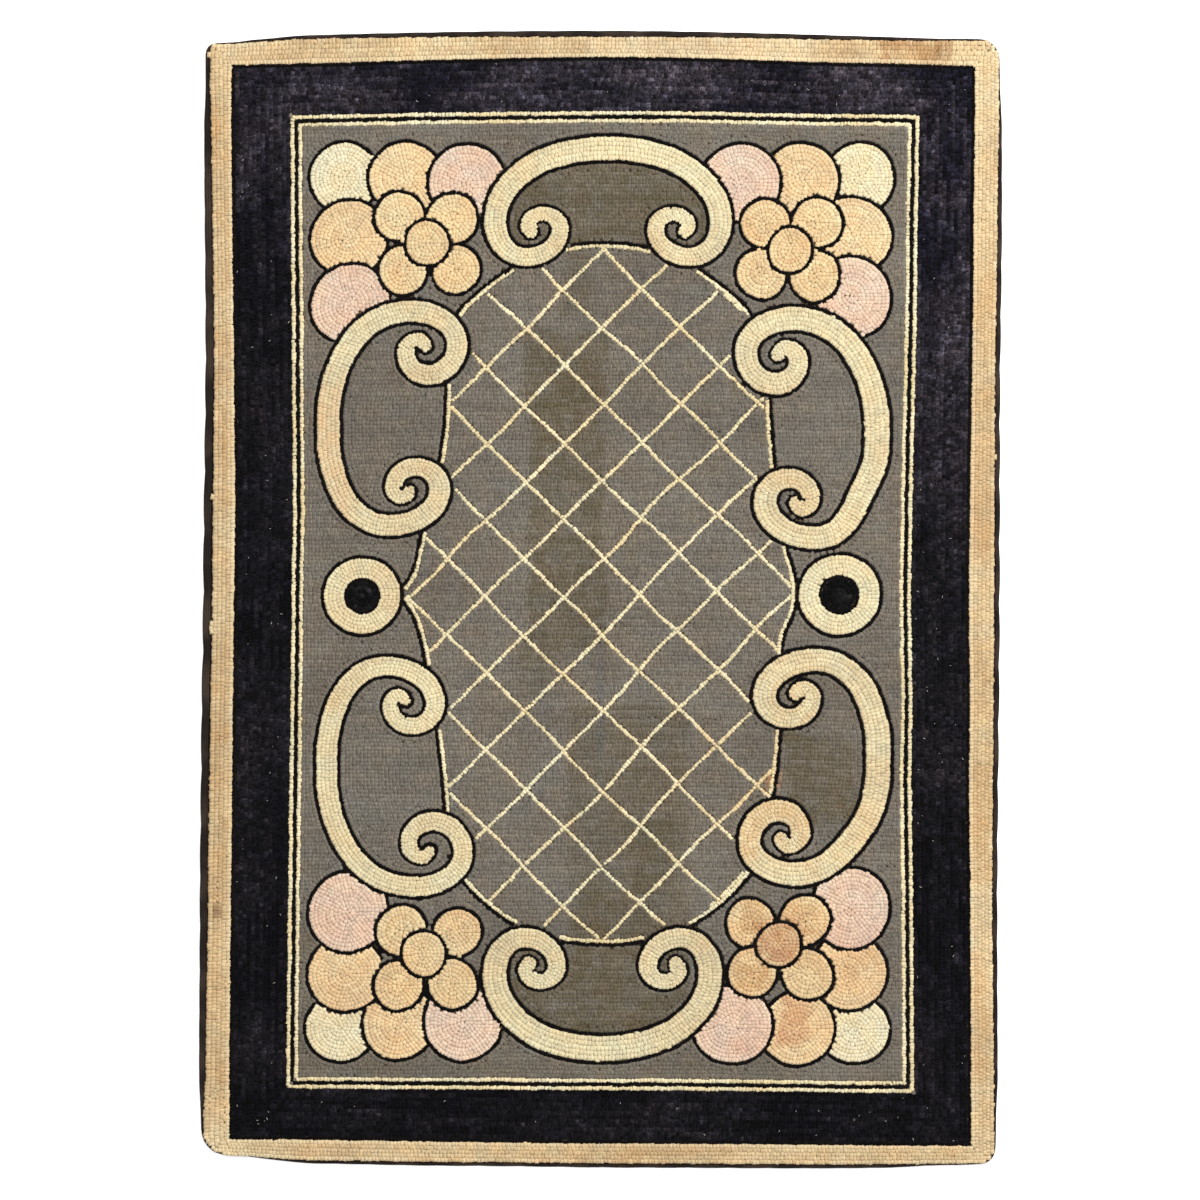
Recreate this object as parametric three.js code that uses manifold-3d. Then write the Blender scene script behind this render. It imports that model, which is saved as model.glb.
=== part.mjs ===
// Hooked rug: a flat rectangle of cloth loops on a backing cloth, with a dark
// tape bound round its edge and turned under. Millimetres, +Z up, +Y along the
// rug's long side. The origin is on the ground, under the middle of the rug.

import * as THREE from "three";
import { mergeVertices } from "three/addons/utils/BufferGeometryUtils.js";
import Module from "manifold-3d";

const wasm = await Module();
wasm.setup();

// Driving dimensions
const RUG_WIDTH = 1081;
const RUG_LENGTH = 1527;
const RUG_HEIGHT = 8;
const PILE_EDGE_ROUND = 2;

const TAPE_HEIGHT = 3.2;
const TAPE_THICKNESS = 1.2;
const TURNED_UNDER = 30;
const SEWN_GAP = 0.3;

const SIDE_STEPS = 28;
const CORNER_STEPS = 6;
const ROUND_STEPS = 3;
const SMALLEST_ROUND = 4;
const OVERCUT = 20;
const MERGE_DISTANCE = 1e-4;

// How far the finished edge runs out from, or in from, the straight side, and
// how wide the tape shows beside the loops. "at" runs along the side.
const LEFT_SIDE = [
  { at: -764, out: -2, tape: 1 },
  { at: -690, out: 0, tape: 3.5 },
  { at: -640, out: 0, tape: 6.5 },
  { at: -400, out: -1.5, tape: 8 },
  { at: -210, out: -3.5, tape: 8.5 },
  { at: 0, out: -6.5, tape: 9 },
  { at: 340, out: -9.5, tape: 8.5 },
  { at: 640, out: -7, tape: 7.5 },
  { at: 725, out: -6.5, tape: 5 },
  { at: 764, out: -6.5, tape: 1 },
];
const RIGHT_SIDE = [
  { at: -764, out: -6.5, tape: 1 },
  { at: -700, out: -5.5, tape: 2.5 },
  { at: -400, out: -6.8, tape: 4 },
  { at: 0, out: -4, tape: 4.2 },
  { at: 240, out: -3.5, tape: 4 },
  { at: 540, out: 0, tape: 3.5 },
  { at: 680, out: 0, tape: 1.5 },
  { at: 764, out: -1, tape: 1 },
];
const TOP_SIDE = [
  { at: -541, out: -9.5, tape: 1 },
  { at: -490, out: -7, tape: 2.5 },
  { at: -465, out: -3.5, tape: 3.5 },
  { at: -410, out: 0, tape: 4 },
  { at: 0, out: 0, tape: 4.5 },
  { at: 400, out: -2.5, tape: 4 },
  { at: 490, out: -2.5, tape: 2.5 },
  { at: 541, out: -3.5, tape: 1 },
];
const BOTTOM_SIDE = [
  { at: -541, out: -18, tape: 1 },
  { at: -485, out: -14, tape: 1 },
  { at: -455, out: -10.5, tape: 1.5 },
  { at: -405, out: -6.5, tape: 2 },
  { at: -200, out: -3.5, tape: 2.5 },
  { at: 60, out: -1, tape: 3 },
  { at: 300, out: 0, tape: 2.8 },
  { at: 480, out: -1.5, tape: 1.8 },
  { at: 541, out: -4, tape: 1 },
];
const CORNER_ROUND = { bottomRight: 20, topRight: 27, topLeft: 13, bottomLeft: 32 };

// Materials
const LOOP_CLOTH = { color: 0x6f6a63, roughness: 0.95, metalness: 0 };
const TAPE_CLOTH = { color: 0x201b18, roughness: 0.85, metalness: 0 };

// Reads one column of a side's table between its rows, with soft ends to each run.
function readSide(rows, at, column) {
  const last = rows.length - 1;
  if (at <= rows[0].at) return rows[0][column];
  if (at >= rows[last].at) return rows[last][column];
  const next = rows.findIndex((row) => row.at > at);
  const before = rows[next - 1];
  const after = rows[next];
  const share = (at - before.at) / (after.at - before.at);
  const soft = share * share * (3 - 2 * share);
  return before[column] + (after[column] - before[column]) * soft;
}

// The four sides, each with the way it faces and its ends, anticlockwise.
const SIDES = [
  { rows: BOTTOM_SIDE, face: [0, -1], run: [1, 0], endCorner: "bottomRight" },
  { rows: RIGHT_SIDE, face: [1, 0], run: [0, 1], endCorner: "topRight" },
  { rows: TOP_SIDE, face: [0, 1], run: [-1, 0], endCorner: "topLeft" },
  { rows: LEFT_SIDE, face: [-1, 0], run: [0, -1], endCorner: "bottomLeft" },
];

// Half the rug's size across a side and along it.
function halfSizes(side) {
  const halfWidth = RUG_WIDTH / 2;
  const halfLength = RUG_LENGTH / 2;
  return side.face[0] === 0
    ? { across: halfLength, along: halfWidth }
    : { across: halfWidth, along: halfLength };
}

// How far from the centre the edge lies at a place along a side.
function reach(side, along, inside, besideTape) {
  const at = along * (side.run[0] + side.run[1]);
  const tape = besideTape ? readSide(side.rows, at, "tape") : 0;
  return halfSizes(side).across + readSide(side.rows, at, "out") - tape - inside;
}

// The corner's rounding left over on an outline that lies inside the finished one.
function cornerRound(side, inside) {
  return Math.max(CORNER_ROUND[side.endCorner] - inside, SMALLEST_ROUND);
}

// A point so far out across a side and so far on along it.
function sidePoint(side, out, along) {
  return new THREE.Vector2(
    side.face[0] * out + side.run[0] * along,
    side.face[1] * out + side.run[1] * along,
  );
}

// The rug's outline, moved inside by a distance, and beside the tape if asked.
// Steps are closer near the corners, where the edge bends most.
function outline(inside, besideTape) {
  const stretches = SIDES.map((side, index) => {
    const before = SIDES[(index + SIDES.length - 1) % SIDES.length];
    const next = SIDES[(index + 1) % SIDES.length];
    const startReach = reach(before, halfSizes(before).along - inside, inside, besideTape);
    const endReach = reach(next, inside - halfSizes(next).along, inside, besideTape);
    return {
      from: cornerRound(before, inside) - startReach,
      to: endReach - cornerRound(side, inside),
    };
  });
  const points = [];
  SIDES.forEach((side, index) => {
    const next = SIDES[(index + 1) % SIDES.length];
    const { from, to } = stretches[index];
    for (let step = 0; step < SIDE_STEPS; step += 1) {
      const share = (1 - Math.cos((Math.PI * step) / SIDE_STEPS)) / 2;
      const along = from + (to - from) * share;
      points.push(sidePoint(side, reach(side, along, inside, besideTape), along));
    }
    const nextFrom = stretches[(index + 1) % SIDES.length].from;
    const outRound = reach(side, to, inside, besideTape) + nextFrom;
    const alongRound = reach(next, nextFrom, inside, besideTape) - to;
    for (let step = 0; step < CORNER_STEPS; step += 1) {
      const angle = (step / CORNER_STEPS) * (Math.PI / 2);
      const out = outRound * Math.cos(angle) - nextFrom;
      points.push(sidePoint(side, out, to + alongRound * Math.sin(angle)));
    }
  });
  return points;
}

// The middle of the finished outline, which goes over the origin.
const finishedBox = new THREE.Box2().setFromPoints(outline(0, false));
const middle = finishedBox.getCenter(new THREE.Vector2());

// An outline about the origin.
function centredOutline(inside, besideTape) {
  return outline(inside, besideTape).map((point) => point.sub(middle));
}

// A flat slab between two heights, with a hole or rounded edges if asked.
function slab(points, bottom, top, options = {}) {
  const shape = new THREE.Shape(points);
  if (options.hole) shape.holes.push(new THREE.Path(options.hole));
  const round = options.round ?? 0;
  const geometry = new THREE.ExtrudeGeometry(shape, {
    depth: top - bottom - 2 * round,
    bevelEnabled: round > 0,
    bevelThickness: round,
    bevelSize: round,
    bevelOffset: -round,
    bevelSegments: ROUND_STEPS,
  });
  geometry.translate(0, 0, bottom + round);
  return geometry;
}

// A closed geometry as a solid that can be joined or cut, and back again.
function toSolid(geometry) {
  const bare = geometry.clone();
  bare.deleteAttribute("normal");
  bare.deleteAttribute("uv");
  const merged = mergeVertices(bare, MERGE_DISTANCE);
  return new wasm.Manifold(new wasm.Mesh({
    numProp: 3,
    vertProperties: new Float32Array(merged.attributes.position.array),
    triVerts: new Uint32Array(merged.index.array),
  }));
}

function toGeometry(solid) {
  const mesh = solid.getMesh();
  const geometry = new THREE.BufferGeometry();
  geometry.setAttribute("position", new THREE.BufferAttribute(mesh.vertProperties, 3));
  geometry.setIndex(new THREE.BufferAttribute(mesh.triVerts, 1));
  geometry.computeVertexNormals();
  return geometry;
}

// Hooked body: loops and backing cloth in one slab, thinner underneath along
// the edge, where the turned-under tape lies. Cutters run past what they cut.
function hookedRug() {
  const hookedEdge = centredOutline(SEWN_GAP, true);
  const body = toSolid(slab(hookedEdge, -OVERCUT, RUG_HEIGHT, { round: PILE_EDGE_ROUND }));
  const underPoints = centredOutline(-OVERCUT, false);
  const fullDepth = slab(underPoints, -2 * OVERCUT, 0);
  const tapeBed = slab(underPoints, -OVERCUT, TAPE_THICKNESS + SEWN_GAP, {
    hole: centredOutline(TURNED_UNDER + SEWN_GAP, true),
  });
  return toGeometry(body.subtract(toSolid(fullDepth)).subtract(toSolid(tapeBed)));
}

// Tape: stands beside the loops as a low fold and lies flat under the edge.
function boundTape() {
  const foldAndFlap = slab(centredOutline(0, false), 0, TAPE_HEIGHT, {
    hole: centredOutline(TURNED_UNDER, true),
  });
  const roomForLoops = slab(centredOutline(0, true), TAPE_THICKNESS, TAPE_HEIGHT + OVERCUT);
  return toGeometry(toSolid(foldAndFlap).subtract(toSolid(roomForLoops)));
}

function namedMesh(name, geometry, finish) {
  const mesh = new THREE.Mesh(geometry, new THREE.MeshStandardMaterial(finish));
  mesh.name = name;
  return mesh;
}

const rug = new THREE.Group();
rug.add(namedMesh("rug", hookedRug(), LOOP_CLOTH));
rug.add(namedMesh("binding", boundTape(), TAPE_CLOTH));

export default rug;
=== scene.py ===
"""A hooked rug with scrolls, corner flowers and a trellis medallion, built loop by loop over its CAD frame.

The ornament is laid out in millimetres in the rug's own frame, +X across and +Y towards the top end. Every loop
of the pile is a copy of one modelled loop. Blender's own units are metres.
"""

import logging
import math
from dataclasses import dataclass, field
from enum import Enum
from typing import Callable, Iterator

import bpy
import numpy as np
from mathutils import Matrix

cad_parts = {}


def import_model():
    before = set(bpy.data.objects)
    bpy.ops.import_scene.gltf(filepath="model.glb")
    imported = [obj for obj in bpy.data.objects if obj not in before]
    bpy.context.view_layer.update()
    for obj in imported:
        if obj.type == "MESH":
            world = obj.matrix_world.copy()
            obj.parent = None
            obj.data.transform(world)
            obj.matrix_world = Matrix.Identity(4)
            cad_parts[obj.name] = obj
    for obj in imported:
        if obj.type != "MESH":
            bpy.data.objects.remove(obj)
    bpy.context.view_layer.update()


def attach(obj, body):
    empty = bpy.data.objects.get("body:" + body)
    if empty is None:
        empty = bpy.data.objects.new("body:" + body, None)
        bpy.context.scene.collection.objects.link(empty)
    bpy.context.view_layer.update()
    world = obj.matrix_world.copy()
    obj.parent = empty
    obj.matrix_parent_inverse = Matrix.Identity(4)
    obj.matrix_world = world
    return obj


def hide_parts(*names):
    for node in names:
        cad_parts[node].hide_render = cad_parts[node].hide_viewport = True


LOG = logging.getLogger("hooked_rug")
MM = 0.001
SEED = 1917
ROW = 5.4  # mm from one hooked row to the next
LOOP = 4.9  # mm from one loop to the next along a row
STEP = 1.5  # mm between the points of a drawn line, and of the drawing's grid
HEM_LOOSE = (4.5, 0.4, 0.0)  # mm that the hooked edge has spread at the top, foot and sides
TAPE_LOOSE = (8.0, 2.8, 2.2)  # and its tape
FAR_OFF = 40.0  # mm, a distance to a line that counts as clear of it
KIND, STRIP, RANK = 3, 4, 5  # the loops' columns after x, y and heading: wool, shade of the strip and rank
STAYS, YIELDS, GIVES_WAY = 0, 1, 2  # ranks: a line that stays where it is drawn, the trellis, and fillings


class Wool(Enum):
    """The dyed wools that the rug is hooked from."""

    TAN = 0
    NAVY = 1
    BLACK = 2
    CREAM = 3
    GROUND = 4
    SCROLL = 5
    PETAL = 6
    PEACH = 7
    IVORY = 8
    PINK = 9
    EYE = 10


class Side(Enum):
    """The rug's four sides, with the axis and sign of each one's outward direction."""

    LEFT = (0, -1)
    RIGHT = (0, 1)
    TOP = (1, 1)
    BOTTOM = (1, -1)


def linear(red: float, green: float, blue: float) -> np.ndarray:
    """Turns an sRGB colour into Blender's linear one.

    Args:
        red: Red from 0 to 255.
        green: Green from 0 to 255.
        blue: Blue from 0 to 255.

    Returns:
        The three linear parts, from 0 to 1.
    """
    share = np.array([red, green, blue], float) / 255
    return np.where(share <= 0.04045, share / 12.92, ((share + 0.055) / 1.055) ** 2.4)


def ease(share: np.ndarray) -> np.ndarray:
    """Turns a share into a smooth step from 0 to 1."""
    share = np.clip(share, 0, 1)
    return share * share * (3 - 2 * share)


def between(grid: np.ndarray, low: tuple, high: tuple, share: tuple) -> np.ndarray:
    """Reads a grid between its lower and higher cells, at a share of the way from one to the other."""
    (i, j), (k, m), (a, b) = low, high, share
    near = grid[i, j] * (1 - a) + grid[k, j] * a
    far = grid[i, m] * (1 - a) + grid[k, m] * a
    return near * (1 - b) + far * b


def travelled(line: np.ndarray) -> np.ndarray:
    """Gives how far along a line each of its points is."""
    return np.concatenate([[0], np.cumsum(np.hypot(*np.diff(line, axis=0).T))])


def reach_at(ring: np.ndarray, way: np.ndarray) -> np.ndarray:
    """Gives how far a ring is from the middle in each direction, the directions in radians."""
    return np.interp(way, np.arctan2(ring[:, 1], ring[:, 0]), np.hypot(*ring.T), period=2 * math.pi)


def turned(shape: np.ndarray, turn: np.ndarray, middle: np.ndarray) -> tuple[np.ndarray, np.ndarray]:
    """Turns copies of a shape, moves their middles to their places, and gives the points' x and y."""
    c, s = np.cos(turn)[:, None], np.sin(turn)[:, None]
    x, y = shape[:, :, 0], shape[:, :, 1]
    return x * c - y * s + middle[:, 0:1], x * s + y * c + middle[:, 1:2]


def in_lines(loops: np.ndarray) -> np.ndarray:
    """Tells which loops belong to a black or cream line."""
    return np.isin(loops[:, KIND], (Wool.BLACK.value, Wool.CREAM.value))


def everywhere(x: np.ndarray, y: np.ndarray) -> np.ndarray:
    """Tells that a line shows at every place."""
    return np.ones(len(x), bool)


def linked(name: str, data: bpy.types.ID) -> bpy.types.Object:
    """Adds an object to the scene."""
    made = bpy.data.objects.new(name, data)
    bpy.context.scene.collection.objects.link(made)
    return made


def smooth_piece(name: str, points: np.ndarray, faces: list) -> bpy.types.Object:
    """Adds a smooth piece from its points in mm and its faces."""
    mesh = bpy.data.meshes.new(name)
    mesh.from_pydata((points * MM).tolist(), [], faces)
    mesh.polygons.foreach_set("use_smooth", np.ones(len(faces), bool))
    return linked(name, mesh)


def deselect() -> None:
    """Clears the selection."""
    bpy.ops.object.select_all(action="DESELECT")


def face_outwards() -> None:
    """Turns the faces of the mesh being edited outwards, and leaves edit mode."""
    bpy.ops.mesh.select_all(action="SELECT")
    bpy.ops.mesh.normals_make_consistent(inside=False)
    bpy.ops.object.mode_set(mode="OBJECT")


@dataclass
class Wander:
    """Seeded smooth noise over the rug, for drift in place, height and colour."""

    scale: float
    seed: int
    size: int = 64

    def __post_init__(self) -> None:
        """Draws the noise's table."""
        self.table = np.random.RandomState(SEED + self.seed).uniform(-1, 1, (self.size, self.size))

    def at(self, x: np.ndarray, y: np.ndarray) -> np.ndarray:
        """Reads the noise.

        Args:
            x: Places across the rug in mm.
            y: Places along the rug in mm.

        Returns:
            Values from -1 to 1.
        """
        u, v = np.asarray(x) / self.scale + 500, np.asarray(y) / self.scale + 500
        i, j = np.floor(u).astype(int), np.floor(v).astype(int)
        n = self.size
        return between(self.table, (i % n, j % n), ((i + 1) % n, (j + 1) % n), (ease(u - i), ease(v - j)))


@dataclass
class Path:
    """A drawn line as closely spaced points."""

    points: np.ndarray
    closed: bool = False

    def even(self, pitch: float) -> tuple[np.ndarray, np.ndarray]:
        """Walks the line in equal steps.

        Args:
            pitch: The step wanted in mm; it is stretched to fit the line's length.

        Returns:
            The points reached, and the line's heading in radians at each.
        """
        line = np.vstack([self.points, self.points[:1]]) if self.closed else self.points
        run = travelled(line)
        count = max(1, int(round(run[-1] / pitch)))
        middles = (np.arange(count) + 0.5) * run[-1] / count
        near = 0.4 * pitch
        place, ahead, behind = (
            np.column_stack([np.interp(at, run, line[:, k]) for k in (0, 1)])
            for at in (middles, np.minimum(middles + near, run[-1]), np.maximum(middles - near, 0))
        )
        way = ahead - behind
        return place, np.arctan2(way[:, 1], way[:, 0])


def curve_through(nodes: np.ndarray) -> tuple[np.ndarray, np.ndarray]:
    """Draws a smooth line through nodes that each give a heading, with elliptical arcs between them.

    Args:
        nodes: Rows of x, y, heading in degrees and half the band's width.

    Returns:
        The line's points, and half the band's width at each.
    """
    points, widths = [], []
    for here, there in zip(nodes[:-1], nodes[1:]):
        start, end = here[:2], there[:2]
        turn = math.radians((there[2] - here[2] + 180) % 360 - 180)
        out, into = (np.array([math.cos(way), math.sin(way)]) for way in np.radians([here[2], there[2]]))
        chord = end - start
        if abs(turn) < 0.08:
            a = b = np.hypot(*chord) / 3
        else:
            reach = np.linalg.solve(np.column_stack([out, into]), chord)
            bend = 4 / 3 * math.tan(abs(turn) / 4) / math.tan(abs(turn) / 2)
            a, b = bend * reach
        t = np.linspace(0, 1, max(4, int(np.hypot(*chord) / STEP * 1.2)), endpoint=False)[:, None]
        corners = (start, start + out * a, end - into * b, end)
        shares = ((1 - t) ** 3, 3 * t * (1 - t) ** 2, 3 * t * t * (1 - t), t**3)
        points.append(sum(share * corner for share, corner in zip(shares, corners)))
        widths.append(here[3] + (there[3] - here[3]) * ease(t[:, 0]))
    points.append(nodes[-1:, :2])
    widths.append(nodes[-1:, 3])
    return np.vstack(points), np.concatenate(widths)


@dataclass
class Shape:
    """One motif of the drawing: a filled region with an outline row around it."""

    wool: Wool

    def depth(self, x: np.ndarray, y: np.ndarray) -> np.ndarray:
        """Gives the distance to the outline in mm, below zero inside."""
        raise NotImplementedError

    def offset(self, outward: float) -> Path:
        """Draws the line that runs a distance outside the outline, or inside it where that is below zero."""
        raise NotImplementedError

    def reach(self) -> tuple[float, float, float, float]:
        """Gives the lowest and highest x and y that the shape takes, in mm."""
        line = self.offset(0).points
        return (*line.min(0), *line.max(0))


@dataclass
class Disc(Shape):
    """A hand-drawn round: a lobe, petal, flower centre or ring."""

    x: float = 0.0
    y: float = 0.0
    radius: float = 30.0
    seed: int = 0
    uneven: float = 0.022

    def __post_init__(self) -> None:
        """Draws how the hand strayed from the round."""
        draw = np.random.RandomState(SEED + 100 + self.seed)
        self.waves = [
            (k, self.uneven * draw.uniform(0.4, 1) / (k - 1), draw.uniform(0, 2 * math.pi)) for k in (2, 3, 5)
        ]

    def _radius(self, angle: np.ndarray) -> np.ndarray:
        """Gives the outline's radius at each angle."""
        return self.radius * (1 + sum(size * np.cos(k * angle + phase) for k, size, phase in self.waves))

    def depth(self, x: np.ndarray, y: np.ndarray) -> np.ndarray:
        """Gives the distance to the outline in mm, below zero inside."""
        across, along = x - self.x, y - self.y
        return np.hypot(across, along) - self._radius(np.arctan2(along, across))

    def offset(self, outward: float) -> Path:
        """Draws the round that runs a distance outside the outline."""
        angle = np.linspace(0, 2 * math.pi, max(8, int(2 * math.pi * self.radius / STEP)), endpoint=False)
        radius = np.maximum(self._radius(angle) + outward, 0.1)
        return Path(np.column_stack([self.x + radius * np.cos(angle), self.y + radius * np.sin(angle)]), True)


@dataclass
class Band(Shape):
    """A scroll: a band of even rows along a spine, rounded at both tips."""

    spine: np.ndarray = field(default_factory=lambda: np.zeros((2, 2)))
    half: np.ndarray = field(default_factory=lambda: np.ones(2))

    def depth(self, x: np.ndarray, y: np.ndarray) -> np.ndarray:
        """Gives the distance to the outline in mm, below zero inside."""
        best = np.full(np.shape(x), FAR_OFF)
        for (cx, cy), half in zip(self.spine, self.half):
            best = np.minimum(best, np.hypot(x - cx, y - cy) - half)
        return best

    def nested(self, share: float, outward: float = 0.0) -> Path:
        """Draws one of the band's rows, all the way round both tips.

        Args:
            share: How far from the spine the row runs, as a share of half the width.
            outward: A further distance in mm.

        Returns:
            The closed row.
        """
        way = np.gradient(self.spine, axis=0)
        way /= np.hypot(*way.T)[:, None]
        across = np.column_stack([-way[:, 1], way[:, 0]])
        gap = (self.half * share + outward)[:, None]
        parts = [self.spine + across * gap]
        for end, sign in ((-1, 1), (0, -1)):
            angle = np.linspace(math.pi / 2, -math.pi / 2, 12)[1:-1, None]
            ring = np.sin(angle) * across[end] + np.cos(angle) * way[end]
            parts.append(self.spine[end] + sign * gap[end] * ring)
            if end == -1:
                parts.append((self.spine - across * gap)[::-1])
        return Path(np.vstack(parts), True)

    def offset(self, outward: float) -> Path:
        """Draws the line that runs a distance outside the outline."""
        return self.nested(1.0, outward)


@dataclass
class Medallion(Shape):
    """The field that the trellis fills, with a cream row inside its black one."""

    line: np.ndarray = field(default_factory=lambda: np.zeros((3, 2)))
    centre: tuple[float, float] = (0.0, 0.0)

    def depth(self, x: np.ndarray, y: np.ndarray) -> np.ndarray:
        """Gives how far past the outline places are along their rays from the centre, below zero inside."""
        across, along = x - self.centre[0], y - self.centre[1]
        edge = reach_at(self.line - np.array(self.centre), np.arctan2(along, across))
        return np.hypot(across, along) - edge

    def offset(self, outward: float) -> Path:
        """Draws the line that runs a distance outside the outline."""
        way = np.roll(self.line, -1, axis=0) - np.roll(self.line, 1, axis=0)
        way /= np.hypot(*way.T)[:, None]
        return Path(self.line + np.column_stack([way[:, 1], -way[:, 0]]) * outward, True)


@dataclass
class Ornament:
    """The rug's motifs, with their sizes and places in mm."""

    # The side scroll from its near tip to its far one: x, y, heading and half the band's width, from its middle.
    side_scroll: tuple = (
        (24.5, -99.5, 235, 9.8),
        (14.5, -106.0, 180, 11.2),
        (3.0, -93.0, 90, 13.2),
        (33.5, -66.0, 0, 13.4),
        (66.5, -96.0, -90, 16.0),
        (-4.0, -145.0, 180, 15.8),
        (-73.0, -93.0, 112, 16.9),
        (-87.0, -30.0, 90, 17.3),
        (-87.0, -1.5, 90, 17.3),
        (-52.5, 106.5, 53, 16.9),
        (24.5, 144.5, 0, 16.2),
        (87.0, 100.0, -90, 15.5),
        (47.5, 58.5, 180, 15.3),
        (17.5, 88.0, 90, 13.6),
        (35.5, 105.5, 0, 11.2),
        (44.5, 97.0, -60, 9.8),
    )
    side_back: float = -87.0  # the side scroll's straight back
    # Where each side scroll's middle is, its sizes against the drawn one, where a sign turns it over, how wide
    # its near half is against its far one, how broad its band is, and how far its two back corners are cut.
    side_places: tuple = (
        (-280.5, 247.5, 1.0, 1.0, 0.98, 1.03, 0.0, 0.0),
        (285.0, 234.0, -1.02, 1.025, 0.97, 1.12, 11.0, 0.0),
        (-277.5, -236.5, 1.06, -1.03, 0.9, 0.95, 0.0, 0.0),
        (288.0, -224.0, -1.0, -1.0, 1.0, 1.12, 0.0, 6.0),
    )
    side_corners: tuple = ((-66.0, -97.0), (-50.0, 117.0))  # where the near and the far corner turn
    corner_reach: float = 33.0
    # Half of the end scroll from the middle of its arch to its tip, in the same columns.
    end_scroll: tuple = (
        (0.0, 72.5, 180, 18.4),
        (-75.5, 61.0, 198, 18.2),
        (-134.5, 21.5, 230, 17.8),
        (-152.5, -27.5, 270, 17.2),
        (-111.0, -74.5, 0, 14.2),
        (-64.5, -37.0, 90, 13.4),
        (-88.0, -16.0, 180, 10.6),
        (-108.5, -32.5, 270, 11.4),
        (-103.5, -40.5, 310, 10.2),
    )
    end_places: tuple = ((10.0, 539.5, 1.0, 1.0, 1.0), (2.5, -530.0, 0.955, -1.02, 1.07))  # the last as above
    # The rings halfway down each side: x, y, radius, and the radius of the dark eye.
    rings: tuple = ((-322.0, 7.5, 53.5, 22.4), (322.5, 9.0, 56.6, 25.0))
    # The corner flowers' middles, how far their lobes and then their petals stray outwards and endwards, and
    # how far the outer column of lobes is drawn in and then the end row.
    flowers: tuple = (
        (-234.0, 484.0, 4.5, -17.0, 0.0, -3.0, 0.0, -1.0),
        (256.0, 474.5, -8.5, 0.0, 0.0, 0.0, 8.0, 8.0),
        (-239.0, -476.0, 7.0, 4.5, -5.5, 4.5, 2.0, 13.0),
        (241.0, -463.5, -3.0, 12.5, 0.0, 2.0, 0.0, 3.0),
    )
    flower_disc: float = 31.0
    petal_radius: float = 34.7
    # The petals from the flower's middle: outwards and endwards.
    petals: tuple = ((34.0, -34.5), (38.0, 37.0), (-40.0, -31.5), (-35.0, 36.5))
    # The lobes likewise, from the lowest up, with radius and wool.
    lobes: tuple = (
        (105.0, 105.0, 48.0, Wool.IVORY),
        (26.0, 102.5, 51.0, Wool.PEACH),
        (-60.0, 97.0, 54.5, Wool.PINK),
        (99.5, 22.5, 52.5, Wool.PEACH),
        (98.0, -63.5, 55.0, Wool.PINK),
    )
    # The medallion from top to bottom: how far up, and how far out to the left and the right of its middle.
    medallion_middle: float = 4.7
    medallion: tuple = (
        (485.0, 47.0, 47.0),
        (450.0, 136.0, 136.0),
        (372.0, 221.0, 221.0),
        (291.0, 212.0, 223.0),
        (193.0, 220.0, 230.0),
        (83.0, 250.0, 243.0),
        (40.0, 257.0, 258.0),
        (10.0, 280.0, 261.0),
        (-17.0, 259.0, 258.0),
        (-55.0, 246.0, 238.0),
        (-183.0, 225.0, 240.0),
        (-284.0, 215.0, 227.0),
        (-362.0, 212.0, 211.0),
        (-440.0, 128.0, 128.0),
        (-464.0, 44.0, 44.0),
    )
    # The trellis: its middle, and half of one diamond's width and height.
    trellis: tuple = (3.4, 6.1, 52.6, 52.0)
    trellis_drift: float = 2.4
    trellis_shift: tuple = (-4.0, 6.5)  # how far the trellis moves right of its middle, below the top

    def scrolls(self) -> Iterator[Band]:
        """Builds the six scrolls.

        Yields:
            The four side scrolls, then the two end ones.
        """
        spine, half = curve_through(np.array(self.side_scroll, float))
        for x, y, wide, tall, near, broad, *cuts in self.side_places:
            squeeze = 1 + (near - 1) * ease(-spine[:, 1] / 80)
            across = self.side_back + (spine[:, 0] - self.side_back) * squeeze
            line = np.column_stack([across, spine[:, 1]])
            for cut, turn in zip(cuts, self.side_corners):
                close = np.exp(-((spine - turn) ** 2).sum(1) / (2 * self.corner_reach**2))
                line += (0.7 * cut * close)[:, None] * -np.sign(turn)
            yield Band(Wool.SCROLL, spine=line * [wide, tall] + [x, y], half=half * broad)
        spine, half = curve_through(np.array(self.end_scroll, float))
        spine = np.vstack([spine[:0:-1], spine * [-1, 1]])
        half = np.concatenate([half[:0:-1], half])
        for x, y, wide, tall, broad in self.end_places:
            yield Band(Wool.SCROLL, spine=spine * [wide, tall] + [x, y], half=half * broad)

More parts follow.
